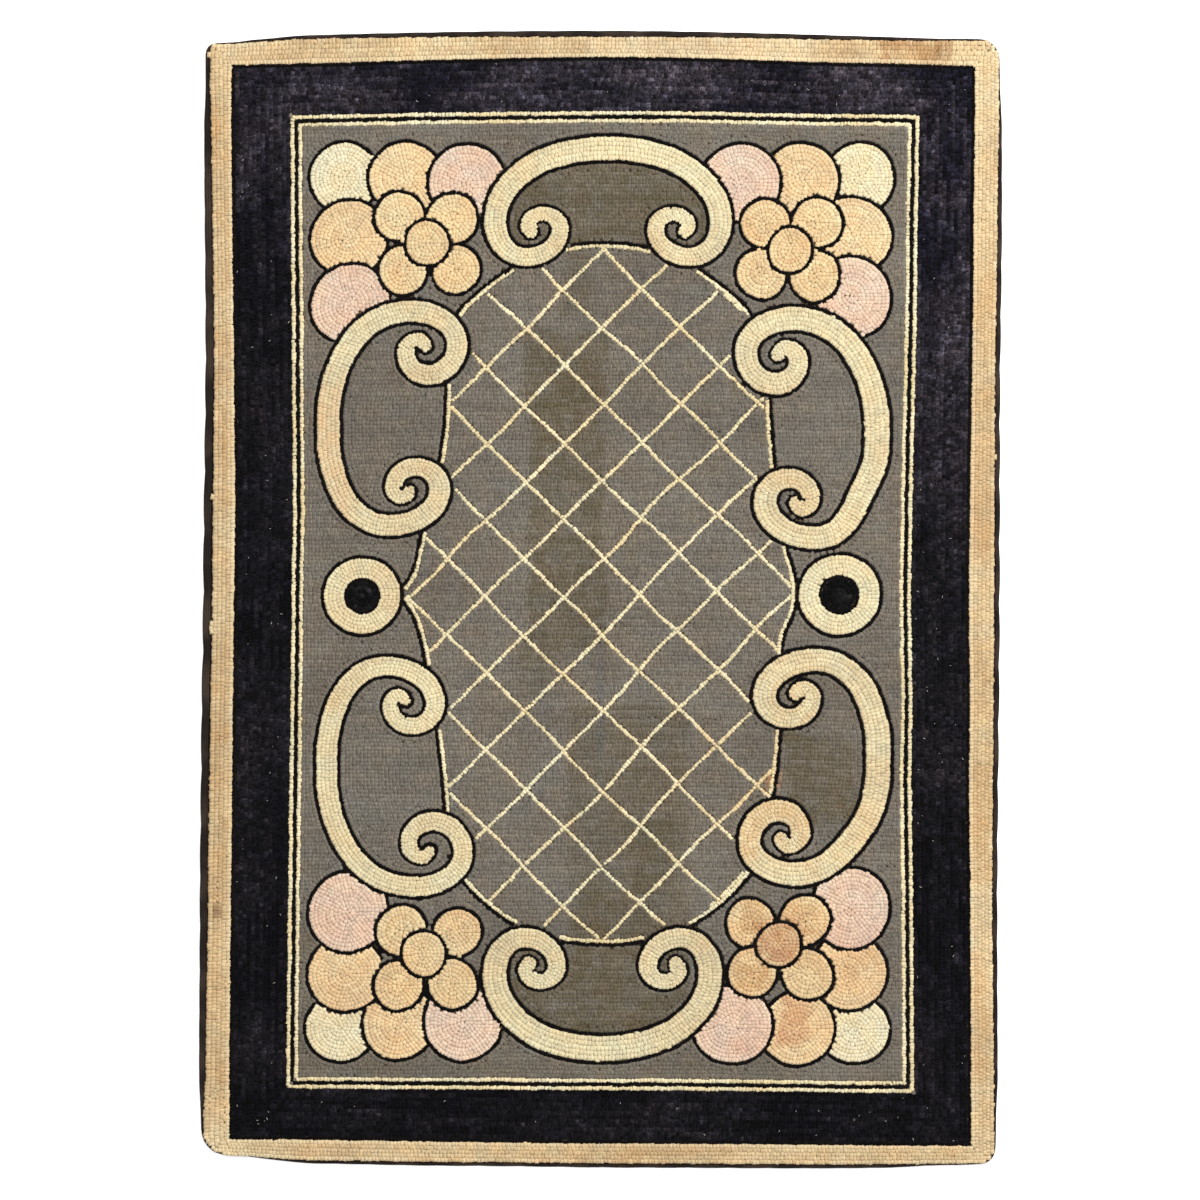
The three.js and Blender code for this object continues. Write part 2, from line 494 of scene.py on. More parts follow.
    def corner(self, number: int) -> Iterator[Disc]:
        """Builds one corner's lobes, petals and flower centre, from the lowest up.

        Args:
            number: Which of the flowers.

        Yields:
            Its rounds.
        """
        x, y, shift_out, shift_end, petal_out, petal_end, column_in, row_in = self.flowers[number]
        draw = np.random.RandomState(SEED + 40 + number)
        out, end = math.copysign(1, x), math.copysign(1, y)
        seed = number * 20
        for dx, dy, radius, wool in self.lobes:
            dx, dy = dx - column_in * (dx > 90) * (0.3 if dy > 90 else 1), dy - row_in * (dy > 90)
            stray = draw.uniform(-2.5, 2.5, 2)
            place = (x + out * (dx + shift_out) + stray[0], y + end * (dy + shift_end) + stray[1])
            yield Disc(wool, x=place[0], y=place[1], radius=radius, seed=seed)
            seed += 1
        for dx, dy in self.petals:
            stray = draw.uniform(-2.0, 2.0, 3)
            place = (x + out * (dx + petal_out) + stray[0], y + end * (dy + petal_end) + stray[1])
            radius = self.petal_radius + stray[2] / 2
            yield Disc(Wool.PETAL, x=place[0], y=place[1], radius=radius, seed=seed, uneven=0.03)
            seed += 1
        yield Disc(Wool.PETAL, x=x, y=y, radius=self.flower_disc, seed=seed, uneven=0.03)

    def field(self) -> Medallion:
        """Builds the medallion, its corners softened as a hooked row softens them.

        Returns:
            The medallion.
        """
        rows = np.array(self.medallion)
        right = np.column_stack([self.medallion_middle + rows[:, 2], rows[:, 0]])
        left = np.column_stack([self.medallion_middle - rows[:, 1], rows[:, 0]])
        line = np.vstack([left, right[::-1]])
        for _ in range(2):
            ahead = np.roll(line, -1, axis=0)
            line = np.stack([0.75 * line + 0.25 * ahead, 0.25 * line + 0.75 * ahead], axis=1).reshape(-1, 2)
        line, _ = Path(line, True).even(STEP)
        return Medallion(Wool.GROUND, line=line, centre=(self.medallion_middle, self.trellis[1]))

    def shapes(self) -> list[Shape]:
        """Lists every motif from the lowest to the one on top."""
        made: list[Shape] = [self.field()]
        for number in range(len(self.flowers)):
            made += self.corner(number)
        for number, (x, y, radius, eye) in enumerate(self.rings):
            made.append(Disc(Wool.SCROLL, x=x, y=y, radius=radius, seed=90 + number, uneven=0.012))
            made.append(Disc(Wool.EYE, x=x, y=y, radius=eye, seed=95 + number))
        return made + list(self.scrolls())

    def trellis_lines(self) -> Iterator[Path]:
        """Draws the trellis, a little off straight as it was hooked.

        Yields:
            Each line of both directions.
        """
        x, y, wide, tall = self.trellis
        along = np.arange(-11, 11, STEP / wide)
        for family, slope in ((0, 1), (1, -1)):
            for number in range(-15, 16, 2):
                drift = Wander(95, 300 + family * 40 + number)
                u = along
                v = slope * (number - u) if slope == 1 else u - number
                px, py = x + u * wide, y + v * tall
                moved = ease((px - 10) / 90) * ease((215 - py) / 80)
                px, py = px + self.trellis_shift[0] * moved, py + self.trellis_shift[1] * moved
                stray = drift.at(px + py, px - py) * self.trellis_drift
                yield Path(np.column_stack([px + stray, py + slope * stray]))


@dataclass
class Borders:
    """The rug's outer bands: the tan rim, the navy border and the guard rows, side by side in mm."""

    # At the start, middle and end of each side: the place along it, and how far out the tan rim meets the
    # navy there and the navy meets the guard.
    left: tuple = ((-640.0, 502.0, 425.0), (150.0, 494.0, 416.0), (690.0, 498.0, 418.0))
    right: tuple = ((-700.0, 501.0, 424.0), (0.0, 498.0, 420.0), (690.0, 506.0, 431.0))
    top: tuple = ((-500.0, 726.0, 657.0), (0.0, 736.0, 663.0), (500.0, 724.0, 656.0))
    bottom: tuple = ((-500.0, 727.0, 658.0), (0.0, 732.0, 660.0), (500.0, 735.0, 664.0))
    stray: float = 1.2  # how far the hand strayed from those lines
    stray_pitch: float = 130.0
    black_row: float = 2.6  # from the tan's edge to the middle of the black row
    guard_rows: tuple = (2.8, 8.1, 13.4)  # from the guard's edge to the middle of each of its rows

    def __post_init__(self) -> None:
        """Sorts out the tables, and measures the hooked edge on the CAD node."""
        self.rows = {side: np.array(getattr(self, side.name.lower())) for side in Side}
        self.edge = loosened(outline_ring("rug", 0.0015, 0.006) / MM, HEM_LOOSE)

    def place(self, side: Side, along: np.ndarray, column: int) -> np.ndarray:
        """Reads one line of a side's table as a smooth curve.

        Args:
            side: The side.
            along: Places along it in mm.
            column: 1 for the tan's inner edge, 2 for the guard's outer edge.

        Returns:
            How far out the line is, in mm.
        """
        rows = self.rows[side]
        at = np.clip(along, rows[0, 0], rows[-1, 0])
        k = np.clip(np.searchsorted(rows[:, 0], at) - 1, 0, len(rows) - 2)
        share = ease((at - rows[k, 0]) / (rows[k + 1, 0] - rows[k, 0]))
        drift = Wander(self.stray_pitch, 70 + list(Side).index(side)).at(along, np.zeros_like(along))
        return rows[k, column] + (rows[k + 1, column] - rows[k, column]) * share + drift * self.stray

    def rim(self, side: Side, along: np.ndarray) -> np.ndarray:
        """Gives how far out the hooked edge is along a side, as if the corners were square."""
        axis, sign = side.value
        out, run = sign * self.edge[:, axis], self.edge[:, 1 - axis]
        limit = 0.935 * np.abs(run).max()
        on = (out > 0.9 * out.max()) & (np.abs(run) < limit)
        order = np.argsort(run[on])
        return np.interp(along, run[on][order], out[on][order])

    def line(self, side: Side, along: np.ndarray, name: str, inset: float = 0.0) -> np.ndarray:
        """Gives how far out one of the border's lines is.

        Args:
            side: The side.
            along: Places along it in mm.
            name: Which line: rim, navy or guard.
            inset: How far inside that line, in mm.

        Returns:
            The distances out from the rug's middle.
        """
        if name == "rim":
            return self.rim(side, along) - inset
        return self.place(side, along, 1 if name == "navy" else 2) - inset

    def ring(self, name: str, inset: float) -> Path:
        """Draws a row all round the rug, with square corners.

        Args:
            name: The line that it follows: rim, navy or guard.
            inset: How far inside that line, in mm.

        Returns:
            The closed row.
        """
        sides = (Side.BOTTOM, Side.RIGHT, Side.TOP, Side.LEFT)
        corners = []
        for here, there in zip(sides, sides[1:] + sides[:1]):
            place = np.zeros(2)
            for _ in range(12):
                for side in (here, there):
                    axis, sign = side.value
                    place[axis] = sign * self.line(side, place[1 - axis : 2 - axis], name, inset)[0]
            corners.append(place.copy())
        parts = []
        for number, side in enumerate(sides):
            axis, sign = side.value
            start, end = corners[number - 1][1 - axis], corners[number][1 - axis]
            along = np.linspace(start, end, int(abs(end - start) / STEP), endpoint=False)
            part = np.zeros((len(along), 2))
            part[:, 1 - axis], part[:, axis] = along, sign * self.line(side, along, name, inset)
            parts.append(part)
        return Path(np.vstack(parts), True)

    def inside(self, x: np.ndarray, y: np.ndarray, name: str, inset: float) -> np.ndarray:
        """Tells whether places are inside a line of the border by at least the inset."""
        return (
            (x > inset - self.line(Side.LEFT, y, name))
            & (x < self.line(Side.RIGHT, y, name) - inset)
            & (y > inset - self.line(Side.BOTTOM, x, name))
            & (y < self.line(Side.TOP, x, name) - inset)
        )

    def hooked(self, x: np.ndarray, y: np.ndarray, inset: float) -> np.ndarray:
        """Tells whether places are inside the hooked outline, round corners too, by at least the inset."""
        way = np.arctan2(y, x)
        across = np.maximum(np.abs(np.cos(way)), np.abs(np.sin(way)))
        return np.hypot(x, y) < reach_at(self.edge, way) - inset / across


def loosened(ring: np.ndarray, sides: tuple[float, float, float]) -> np.ndarray:
    """Moves a ring out a little where the rug's edge has spread past its plan.

    Args:
        ring: The ring's points in mm.
        sides: How far it moves out at the middle of the top, along the foot and along the long sides, in mm.

    Returns:
        The moved ring.
    """
    top, foot, side = sides
    bow, level, end, long_side, corner = 460, 470, 690, 500, 700  # mm from the middle where each begins or ends
    x, y = ring.T
    arch = np.clip(1 - (x / bow) ** 2, 0, 1)
    flat = ease((level - np.abs(x)) / 90)
    up = top * arch * ease((y - end) / 50) - foot * flat * ease((-y - end) / 50)
    out = side * ease((np.abs(x) - long_side) / 30) * ease((corner - np.abs(y)) / 60) * np.sign(x)
    return ring + np.column_stack([out, up])


def outline_ring(node: str, low: float, high: float) -> np.ndarray:
    """Reads one of the CAD outline's rings from a wall that runs between two heights.

    Args:
        node: The CAD node.
        low: The wall's lower height in metres.
        high: Its upper height in metres.

    Returns:
        The ring's points in metres, anticlockwise.
    """
    mesh = bpy.data.objects[node].data
    place = np.array([v.co for v in mesh.vertices])
    ends = np.array([e.vertices[:] for e in mesh.edges])
    first, last = place[ends[:, 0]], place[ends[:, 1]]
    wall = np.isclose(np.minimum(first[:, 2], last[:, 2]), low, atol=3e-5)
    wall &= np.isclose(np.maximum(first[:, 2], last[:, 2]), high, atol=3e-5)
    upper = np.where((first[:, 2] > last[:, 2])[:, None], first, last)[wall][:, :2]
    ring = np.unique(np.round(upper, 6), axis=0)
    return ring[np.argsort(np.arctan2(ring[:, 1], ring[:, 0]))]


@dataclass
class Drawing:
    """The whole ornament on a fine grid: which motif is on top at each place, and how far it is to a line."""

    ornament: Ornament
    borders: Borders
    half_wide: float = 560.0
    half_long: float = 780.0
    margin: float = 4 * ROW  # mm round each motif that its part of the grid takes in
    line_reach: float = 2.2 * ROW  # mm round a line where the distance to it is kept
    curl: float = 90.0  # mm of a scroll's spine that make up the curl at its tip
    curl_radius: float = 44.0

    def __post_init__(self) -> None:
        """Lays the motifs over one another."""
        self.shapes = self.ornament.shapes()
        count = (int(2 * self.half_wide / STEP) + 1, int(2 * self.half_long / STEP) + 1)
        self.on_top = np.full(count, -1)
        self.to_line = np.full(count, FAR_OFF)
        self.depths = []
        for number, shape in enumerate(self.shapes):
            x0, y0, x1, y1 = shape.reach()
            lo = self._cell(x0 - self.margin, y0 - self.margin)
            hi = self._cell(x1 + self.margin, y1 + self.margin)
            x = np.arange(lo[0], hi[0]) * STEP - self.half_wide
            y = np.arange(lo[1], hi[1]) * STEP - self.half_long
            depth = shape.depth(*np.meshgrid(x, y, indexing="ij"))
            self.depths.append((lo, hi, depth))
            self.on_top[lo[0] : hi[0], lo[1] : hi[1]][depth < 0] = number

    def _cell(self, x: np.ndarray, y: np.ndarray) -> tuple[np.ndarray, np.ndarray]:
        """Finds the grid cells of places in mm."""
        i = np.rint((np.asarray(x) + self.half_wide) / STEP).astype(int)
        j = np.rint((np.asarray(y) + self.half_long) / STEP).astype(int)
        return np.clip(i, 0, self.on_top.shape[0] - 1), np.clip(j, 0, self.on_top.shape[1] - 1)

    def curled(self, x: np.ndarray, y: np.ndarray) -> np.ndarray:
        """Tells whether places are in the curl at a scroll's tip, where nothing behind it shows."""
        inside = np.zeros(len(x), bool)
        for shape in self.shapes:
            if isinstance(shape, Band):
                for run in (shape.spine, shape.spine[::-1]):
                    middle = run[travelled(run) < self.curl].mean(0)
                    inside |= np.hypot(x - middle[0], y - middle[1]) < self.curl_radius
        return inside

    def top_at(self, x: np.ndarray, y: np.ndarray) -> np.ndarray:
        """Gives the number of the motif on top at each place, or -1 on the bare ground."""
        return self.on_top[self._cell(x, y)]

    def uncovered(self, number: int, x: np.ndarray, y: np.ndarray, gap: float) -> np.ndarray:
        """Tells where no motif above one lies within a gap.

        Args:
            number: The motif.
            x: Places across the rug in mm.
            y: Places along it in mm.
            gap: The gap in mm.

        Returns:
            True at each uncovered place.
        """
        free = np.ones(len(x), bool)
        i, j = self._cell(x, y)
        for lo, hi, depth in self.depths[number + 1 :]:
            on = (i >= lo[0]) & (i < hi[0]) & (j >= lo[1]) & (j < hi[1])
            if on.any():
                free[on] &= depth[i[on] - lo[0], j[on] - lo[1]] > gap
        return free

    def draw(self, points: np.ndarray) -> None:
        """Takes a line's points into the distances."""
        reach = int(self.line_reach / STEP)
        i, j = self._cell(points[:, 0], points[:, 1])
        for a in range(-reach, reach + 1):
            for b in range(-reach, reach + 1):
                u = np.clip(i + a, 0, self.to_line.shape[0] - 1)
                v = np.clip(j + b, 0, self.to_line.shape[1] - 1)
                away = np.hypot(
                    u * STEP - self.half_wide - points[:, 0], v * STEP - self.half_long - points[:, 1]
                )
                np.minimum.at(self.to_line, (u, v), away)

    def line_at(self, x: np.ndarray, y: np.ndarray) -> np.ndarray:
        """Gives the distance in mm from each place to the nearest drawn line."""
        u = np.clip((x + self.half_wide) / STEP, 0, self.to_line.shape[0] - 1.001)
        v = np.clip((y + self.half_long) / STEP, 0, self.to_line.shape[1] - 1.001)
        i, j = u.astype(int), v.astype(int)
        return between(self.to_line, (i, j), (i + 1, j + 1), (u - i, v - j))


@dataclass
class Bins:
    """Square bins that find the points near a place."""

    points: np.ndarray
    size: float

    def __post_init__(self) -> None:
        """Sorts the points into bins."""
        self.low = self.points.min(0) - 3 * self.size
        self.count = ((self.points.max(0) - self.low) / self.size).astype(int) + 4
        key = self._key(self.points)
        order = np.argsort(key, kind="stable")
        ranked = key[order]
        first = np.searchsorted(ranked, ranked)
        slot = np.arange(len(key)) - first
        self.table = np.full((self.count[0] * self.count[1], int(slot.max()) + 1), -1)
        self.table[ranked, slot] = order

    def _key(self, places: np.ndarray, shift: tuple[int, int] = (0, 0)) -> np.ndarray:
        """Numbers the bins of some places."""
        cell = ((places - self.low) / self.size).astype(int) + np.array(shift)
        cell = np.clip(cell, 0, self.count - 1)
        return cell[:, 0] * self.count[1] + cell[:, 1]

    def near(self, places: np.ndarray) -> Iterator[np.ndarray]:
        """Offers the points in the bins round each place.

        Args:
            places: The places to look from.

        Yields:
            One point's number for each place, or -1.
        """
        for a in (-1, 0, 1):
            for b in (-1, 0, 1):
                found = self.table[self._key(places, (a, b))]
                for slot in range(found.shape[1]):
                    yield found[:, slot]

    def nearest(self, places: np.ndarray, own: np.ndarray | None = None) -> tuple[np.ndarray, np.ndarray]:
        """Finds the nearest point to each place.

        Args:
            places: The places.
            own: A point's number to leave out at each place.

        Returns:
            The distances, capped at one bin, and the points' numbers.
        """
        best, which = np.full(len(places), self.size), np.full(len(places), -1)
        for other in self.near(places):
            away = np.hypot(*(self.points[other] - places).T)
            closer = (other >= 0) & (away < best)
            if own is not None:
                closer &= other != own
            best[closer], which[closer] = away[closer], other[closer]
        return best, which


@dataclass
class Layout:
    """Every loop of the pile: its place, heading, wool and strip."""

    drawing: Drawing
    clearance: float = 0.84 * ROW  # between a filled row and a line
    scroll_clearance: float = 0.62 * ROW  # and between a scroll's row and its outline
    under: float = 0.5 * ROW  # how far an outline stays from a motif that lies over it
    field_under: float = 0.8 * ROW  # and how far the medallion's cream lines do
    field_row: float = 0.95 * ROW  # how far inside its black row the medallion's cream one runs
    trellis_inset: float = 1.5 * ROW  # how far inside it the trellis ends
    room: float = 0.98 * LOOP  # loops closer than this push one another
    push: float = 0.28  # how much of their overlap they push in one round
    holes: tuple = (0.86 * ROW, 0.84 * ROW, 0.7 * ROW)  # the gaps that are filled, in turn
    hole_grid: float = 1.8  # mm between the places where a hole is looked for

    def __post_init__(self) -> None:
        """Starts with no loops."""
        self.draw = np.random.RandomState(SEED)
        self.parts: list[np.ndarray] = []

    def hook(self, place: np.ndarray, heading: np.ndarray, wool: Wool, rank: int, keep: np.ndarray) -> None:
        """Hooks a row of loops from strips of wool.

        Args:
            place: Where each loop stands in mm.
            heading: The row's heading at each in radians.
            wool: The wool.
            rank: STAYS, YIELDS or GIVES_WAY.
            keep: Which of the loops to hook.
        """
        count = len(place)
        if not count:
            return
        length = self.draw.randint(9, 26)
        number = (np.arange(count) + self.draw.randint(0, length)) // length
        strips = self.draw.uniform(-1, 1, number.max() + 1)[number]
        made = np.column_stack([place, heading, np.full(count, wool.value), strips, np.full(count, rank)])
        self.parts.append(made[keep])

    def line(self, path: Path, wool: Wool, keep: Callable, rank: int = STAYS) -> None:
        """Hooks a drawn line, and takes it into the drawing's distances.

        Args:
            path: The line.
            wool: Its wool.
            keep: A function of x and y that says where the line shows.
            rank: As for hook.
        """
        place, heading = path.even(LOOP * (0.94 if wool in (Wool.BLACK, Wool.CREAM) else 1))
        self.hook(place, heading, wool, rank, keep(*place.T))
        dense, _ = path.even(STEP)
        self.drawing.draw(dense[keep(*dense.T)])

    def shown(self, number: int, gap: float, field: bool) -> Callable:
        """Gives the function that tells where a motif's line shows; in the field, a scroll's curl hides it."""
        drawing = self.drawing
        return lambda x, y: drawing.uncovered(number, x, y, gap) & ~(field & drawing.curled(x, y))

    def lines(self) -> None:
        """Hooks the guard, every outline, the medallion's cream row and the trellis."""
        borders, drawing = self.drawing.borders, self.drawing
        self.line(borders.ring("navy", borders.black_row), Wool.BLACK, everywhere)
        for inset, wool in zip(borders.guard_rows, (Wool.CREAM, Wool.BLACK, Wool.CREAM)):
            self.line(borders.ring("guard", inset), wool, everywhere)
        for number, shape in reversed(list(enumerate(drawing.shapes))):
            self.line(shape.offset(0), Wool.BLACK, self.shown(number, self.under, number == 0))
        field, clear = drawing.shapes[0], self.shown(0, self.field_under, True)
        self.line(field.offset(-self.field_row), Wool.CREAM, clear)

        def in_field(x: np.ndarray, y: np.ndarray) -> np.ndarray:
            """Tells where the trellis shows."""
            return (drawing.top_at(x, y) == 0) & (field.depth(x, y) < -self.trellis_inset) & clear(x, y)

        for path in drawing.ornament.trellis_lines():
            self.line(path, Wool.CREAM, in_field, rank=YIELDS)

    def motifs(self) -> None:
        """Fills every motif with rows that follow its outline."""
        for number, shape in enumerate(self.drawing.shapes):
            if isinstance(shape, Medallion):
                continue
            if isinstance(shape, Band):
                paths = [shape.nested(share) for share in (2 / 3, 1 / 3)] + [Path(shape.spine)]
            else:
                rows = int(shape.radius / ROW + 0.3)
                pitch = shape.radius / (rows + 0.25)
                paths = [shape.offset(-pitch * k) for k in range(1, rows + 1)]
            for path in paths:
                place, heading = path.even(LOOP)
                keep = self.drawing.top_at(*place.T) == number
                slack = self.scroll_clearance if isinstance(shape, Band) else self.clearance
                keep &= self.drawing.line_at(*place.T) > slack
                self.hook(place, heading, shape.wool, GIVES_WAY, keep)

    def _bare(self, x: np.ndarray, y: np.ndarray) -> np.ndarray:
        """Tells where the grey ground shows."""
        drawing = self.drawing
        inner = drawing.borders.guard_rows[-1] + self.clearance
        free = (drawing.top_at(x, y) < 1) & (drawing.line_at(x, y) > self.clearance)
        return free & drawing.borders.inside(x, y, "guard", inner)

    def echoes(self) -> None:
        """Hooks one row of the ground round each motif."""
        for shape in self.drawing.shapes[1:]:
            if shape.wool is not Wool.EYE:
                self.line(shape.offset(ROW), Wool.GROUND, self._bare, rank=GIVES_WAY)

    def ground(self) -> None:
        """Fills the ground with level rows, each stretch fitted between the lines that stop it."""
        borders = self.drawing.borders
        x = np.arange(-470, 470, STEP)
        inner = borders.guard_rows[-1]
        low = -borders.line(Side.BOTTOM, x, "guard", inner)
        high = borders.line(Side.TOP, x, "guard", inner)
        count = int(round(float((high - low).mean()) / ROW)) - 1
        for k in range(count):
            y = low + (high - low) * (k + 1) / (count + 1)
            y = y + Wander(150, 20 + k // 9).at(x, np.full_like(x, k * 3.0)) * 1.6
            y = y + Wander(38, 700).at(x, y) * 0.7
            free = self._bare(x, y).astype(int)
            edges = np.flatnonzero(np.diff(np.concatenate([[0], free, [0]])))
            places = []
            for start, stop in zip(edges[::2], edges[1::2]):
                run = (stop - start - 1) * STEP
                number = int(round(run / LOOP)) + 1
                share = (np.arange(number) + 0.5) / number if number == 1 else np.linspace(0, 1, number)
                places.append(x[start] + share * run)
            if places:
                at = np.concatenate(places)
                row = np.column_stack([at, np.interp(at, x, y)])
                self.hook(row, np.zeros(len(at)), Wool.GROUND, GIVES_WAY, everywhere(*row.T))

    def bands(self) -> None:
        """Fills the tan rim and the navy border with rows along each side that meet at the corners."""
        borders = self.drawing.borders
        for wool, outer, inner, start in (
            (Wool.TAN, "rim", "navy", 1.1),
            (Wool.NAVY, "navy", "guard", borders.black_row + 0.5 * ROW),
        ):
            for side in Side:
                axis, sign = side.value
                along = np.arange(-790, 790, LOOP) if axis == 0 else np.arange(-560, 560, LOOP)
                wide = borders.line(side, along, outer, start) - borders.line(side, along, inner)
                count = int(round(float(np.median(wide)) / ROW))
                for k in range(count):
                    at = along + self.draw.uniform(0, LOOP)
                    share = (k + 0.5) / count
                    far, near = borders.line(side, at, outer, start), borders.line(side, at, inner)
                    place = np.zeros((len(at), 2))
                    place[:, 1 - axis], place[:, axis] = at, sign * (far + (near - far) * share)
                    keep = np.ones(len(at), bool)
                    for other in (end for end in Side if end.value[0] != axis):
                        run, out = place[:, axis], other.value[1] * place[:, 1 - axis]
                        far, near = borders.line(other, run, outer, start), borders.line(other, run, inner)
                        keep &= (far - out) / (far - near) >= share
                    keep &= borders.hooked(*place.T, 1.6)
                    heading = np.full(len(at), 0.0 if axis == 1 else math.pi / 2)
                    self.hook(place, heading, wool, GIVES_WAY, keep)

    def wool_at(self, places: np.ndarray) -> np.ndarray:
        """Gives the wool that belongs at each place.

        Args:
            places: Places in mm.

        Returns:
            The wools' numbers.
        """
        borders, drawing = self.drawing.borders, self.drawing
        wools = np.array([shape.wool.value for shape in drawing.shapes] + [Wool.GROUND.value])
        found = wools[drawing.top_at(*places.T)]
        found = np.where(borders.inside(*places.T, "guard", 0.0), found, Wool.NAVY.value)
        return np.where(borders.inside(*places.T, "navy", 0.0), found, Wool.TAN.value)

    def thin(self, loops: np.ndarray) -> np.ndarray:
        """Takes out loops that stand in one another, those that give way first.

        Args:
            loops: The loops.

        Returns:
            Those that stay.
        """
        loops = loops[np.argsort(loops[:, RANK], kind="stable")]
        bins = Bins(loops[:, :2], ROW)
        own = np.arange(len(loops))
        drop = np.zeros(len(loops), bool)
        for other in bins.near(loops[:, :2]):
            away = np.hypot(*(loops[other, :2] - loops[:, :2]).T)
            lesser = (other >= 0) & (other < own)
            line = (loops[other, RANK] == STAYS) & (loops[:, RANK] > STAYS)
            drop |= lesser & (away < np.where(line, 0.66, 0.56) * LOOP)
        return loops[~drop]

    def fill_gaps(self, loops: np.ndarray, gap: float) -> np.ndarray:
        """Hooks a loop into each hole that the rows leave.

        Args:
            loops: The loops.
            gap: The distance from every loop that makes a hole, in mm.

        Returns:
            The loops with the new ones.
        """
        half = np.array([self.drawing.half_wide, self.drawing.half_long])
        axes = [np.arange(-side + 12, side - 12, self.hole_grid) for side in half]
        grid = np.stack(np.meshgrid(*axes, indexing="ij"), axis=-1)
        places = grid.reshape(-1, 2)
        away, _ = Bins(loops[:, :2], ROW * 1.05).nearest(places)
        away[~self.drawing.borders.hooked(*places.T, 2.0)] = 0
        away = away.reshape(grid.shape[:2])
        best = away > gap
        for a in (-2, -1, 0, 1, 2):
            for b in (-2, -1, 0, 1, 2):
                if (a, b) != (0, 0):
                    other = np.roll(away, (a, b), axis=(0, 1))
                    best &= (away > other) | ((away == other) & ((a, b) > (0, 0)))
        new = grid[best]
        _, parent = Bins(loops[:, :2], ROW * 1.6).nearest(new)
        made = loops[parent].copy()
        made[:, :2], made[:, KIND], made[:, RANK] = new, self.wool_at(new), GIVES_WAY
        return np.vstack([loops, made])

    def settle(self, loops: np.ndarray, rounds: int) -> np.ndarray:
        """Lets crowded loops push one another apart, as they do on the hook.

        Args:
            loops: The loops.
            rounds: How many times they push.

        Returns:
            The loops in their settled places.
        """
        start = loops[:, :2].copy()
        yielding = np.array([0.08, 0.25, 1.0])[loops[:, RANK].astype(int)]
        for _ in range(rounds):
            here = loops[:, :2].copy()
            push = np.zeros_like(here)
            own = np.arange(len(loops))
            for other in Bins(here, ROW).near(here):
                gap = here - here[other]
                away = np.hypot(*gap.T)
                close = (other >= 0) & (other != own) & (away < self.room) & (away > 1e-6)
                overlap = (self.room - away[close]) * self.push
                push[close] += (gap[close] / away[close, None]) * overlap[:, None]
            move = here + push * yielding[:, None] - start
            size = np.hypot(*move.T)
            limit = np.minimum(1.0, 1.7 / np.maximum(size, 1e-6))
            loops[:, :2] = start + move * limit[:, None]
        return loops

    def unsteady(self, loops: np.ndarray) -> np.ndarray:
        """Moves every loop a little, as no hand hooks a straight row, and the outlines more than the rest."""
        x, y = loops[:, 0].copy(), loops[:, 1].copy()
        lines = in_lines(loops)
        loops[:, :2] += self.draw.normal(0, 1, (len(loops), 2)) * np.where(lines, 0.36, 0.24)[:, None]
        for axis, seed in ((0, 71), (1, 72)):
            loops[:, axis] += Wander(11, seed).at(x, y) * np.where(lines, 0.5, 0.25)
        return loops

    def make(self) -> np.ndarray:
        """Hooks the whole rug.

        Returns:
            Rows of x, y and heading, in mm and radians, then wool, strip's shade and rank.
        """
        self.lines()
        self.motifs()
        self.echoes()
        self.ground()
        self.bands()
        loops = self.thin(np.vstack(self.parts))
        LOG.info("hooked %d loops", len(loops))
        for gap in self.holes:
            loops = self.settle(self.fill_gaps(loops, gap), 5)
        LOG.info("with the gaps filled, %d loops", len(loops))
        return self.unsteady(loops)


@dataclass(frozen=True)
class Dye:
    """One wool's colours, and how unevenly they took."""

    colour: tuple[float, float, float]
    other: tuple[float, float, float]
    strips: float = 0.35  # how far a strip may lean to the other colour
    loops: float = 0.07  # how far one loop's brightness may stray
    drift: float = 0.3  # how far whole patches lean to the other colour
    flecks: float = 0.0  # how much some loops stand out among the rest, as in dark recycled cloth


DYES = {
    Wool.TAN: Dye((225, 201, 158), (195, 163, 120), 0.2, 0.11, 0.45),
    Wool.NAVY: Dye((24, 22, 33), (72, 66, 74), 0.32, 0.35, 0.5, 0.5),
    Wool.BLACK: Dye((9, 6, 5), (18, 14, 13), 0.5, 0.2, 0.2, 0.3),
    Wool.CREAM: Dye((235, 222, 184), (222, 203, 156), 0.35, 0.12, 0.4),
    Wool.GROUND: Dye((129, 121, 109), (111, 103, 93), 0.3, 0.11, 0.35),
    Wool.SCROLL: Dye((229, 216, 176), (213, 192, 152), 0.25, 0.09, 0.5),
    Wool.PETAL: Dye((233, 208, 161), (217, 180, 134), 0.3, 0.1, 0.4),
    Wool.PEACH: Dye((234, 208, 163), (220, 182, 137), 0.25, 0.1, 0.4),
    Wool.IVORY: Dye((234, 222, 187), (227, 207, 163), 0.25, 0.09, 0.35),
    Wool.PINK: Dye((229, 204, 179), (217, 181, 158), 0.25, 0.1, 0.4),
    Wool.EYE: Dye((9, 7, 7), (30, 29, 30), 0.5, 0.3, 0.3, 0.7),
}


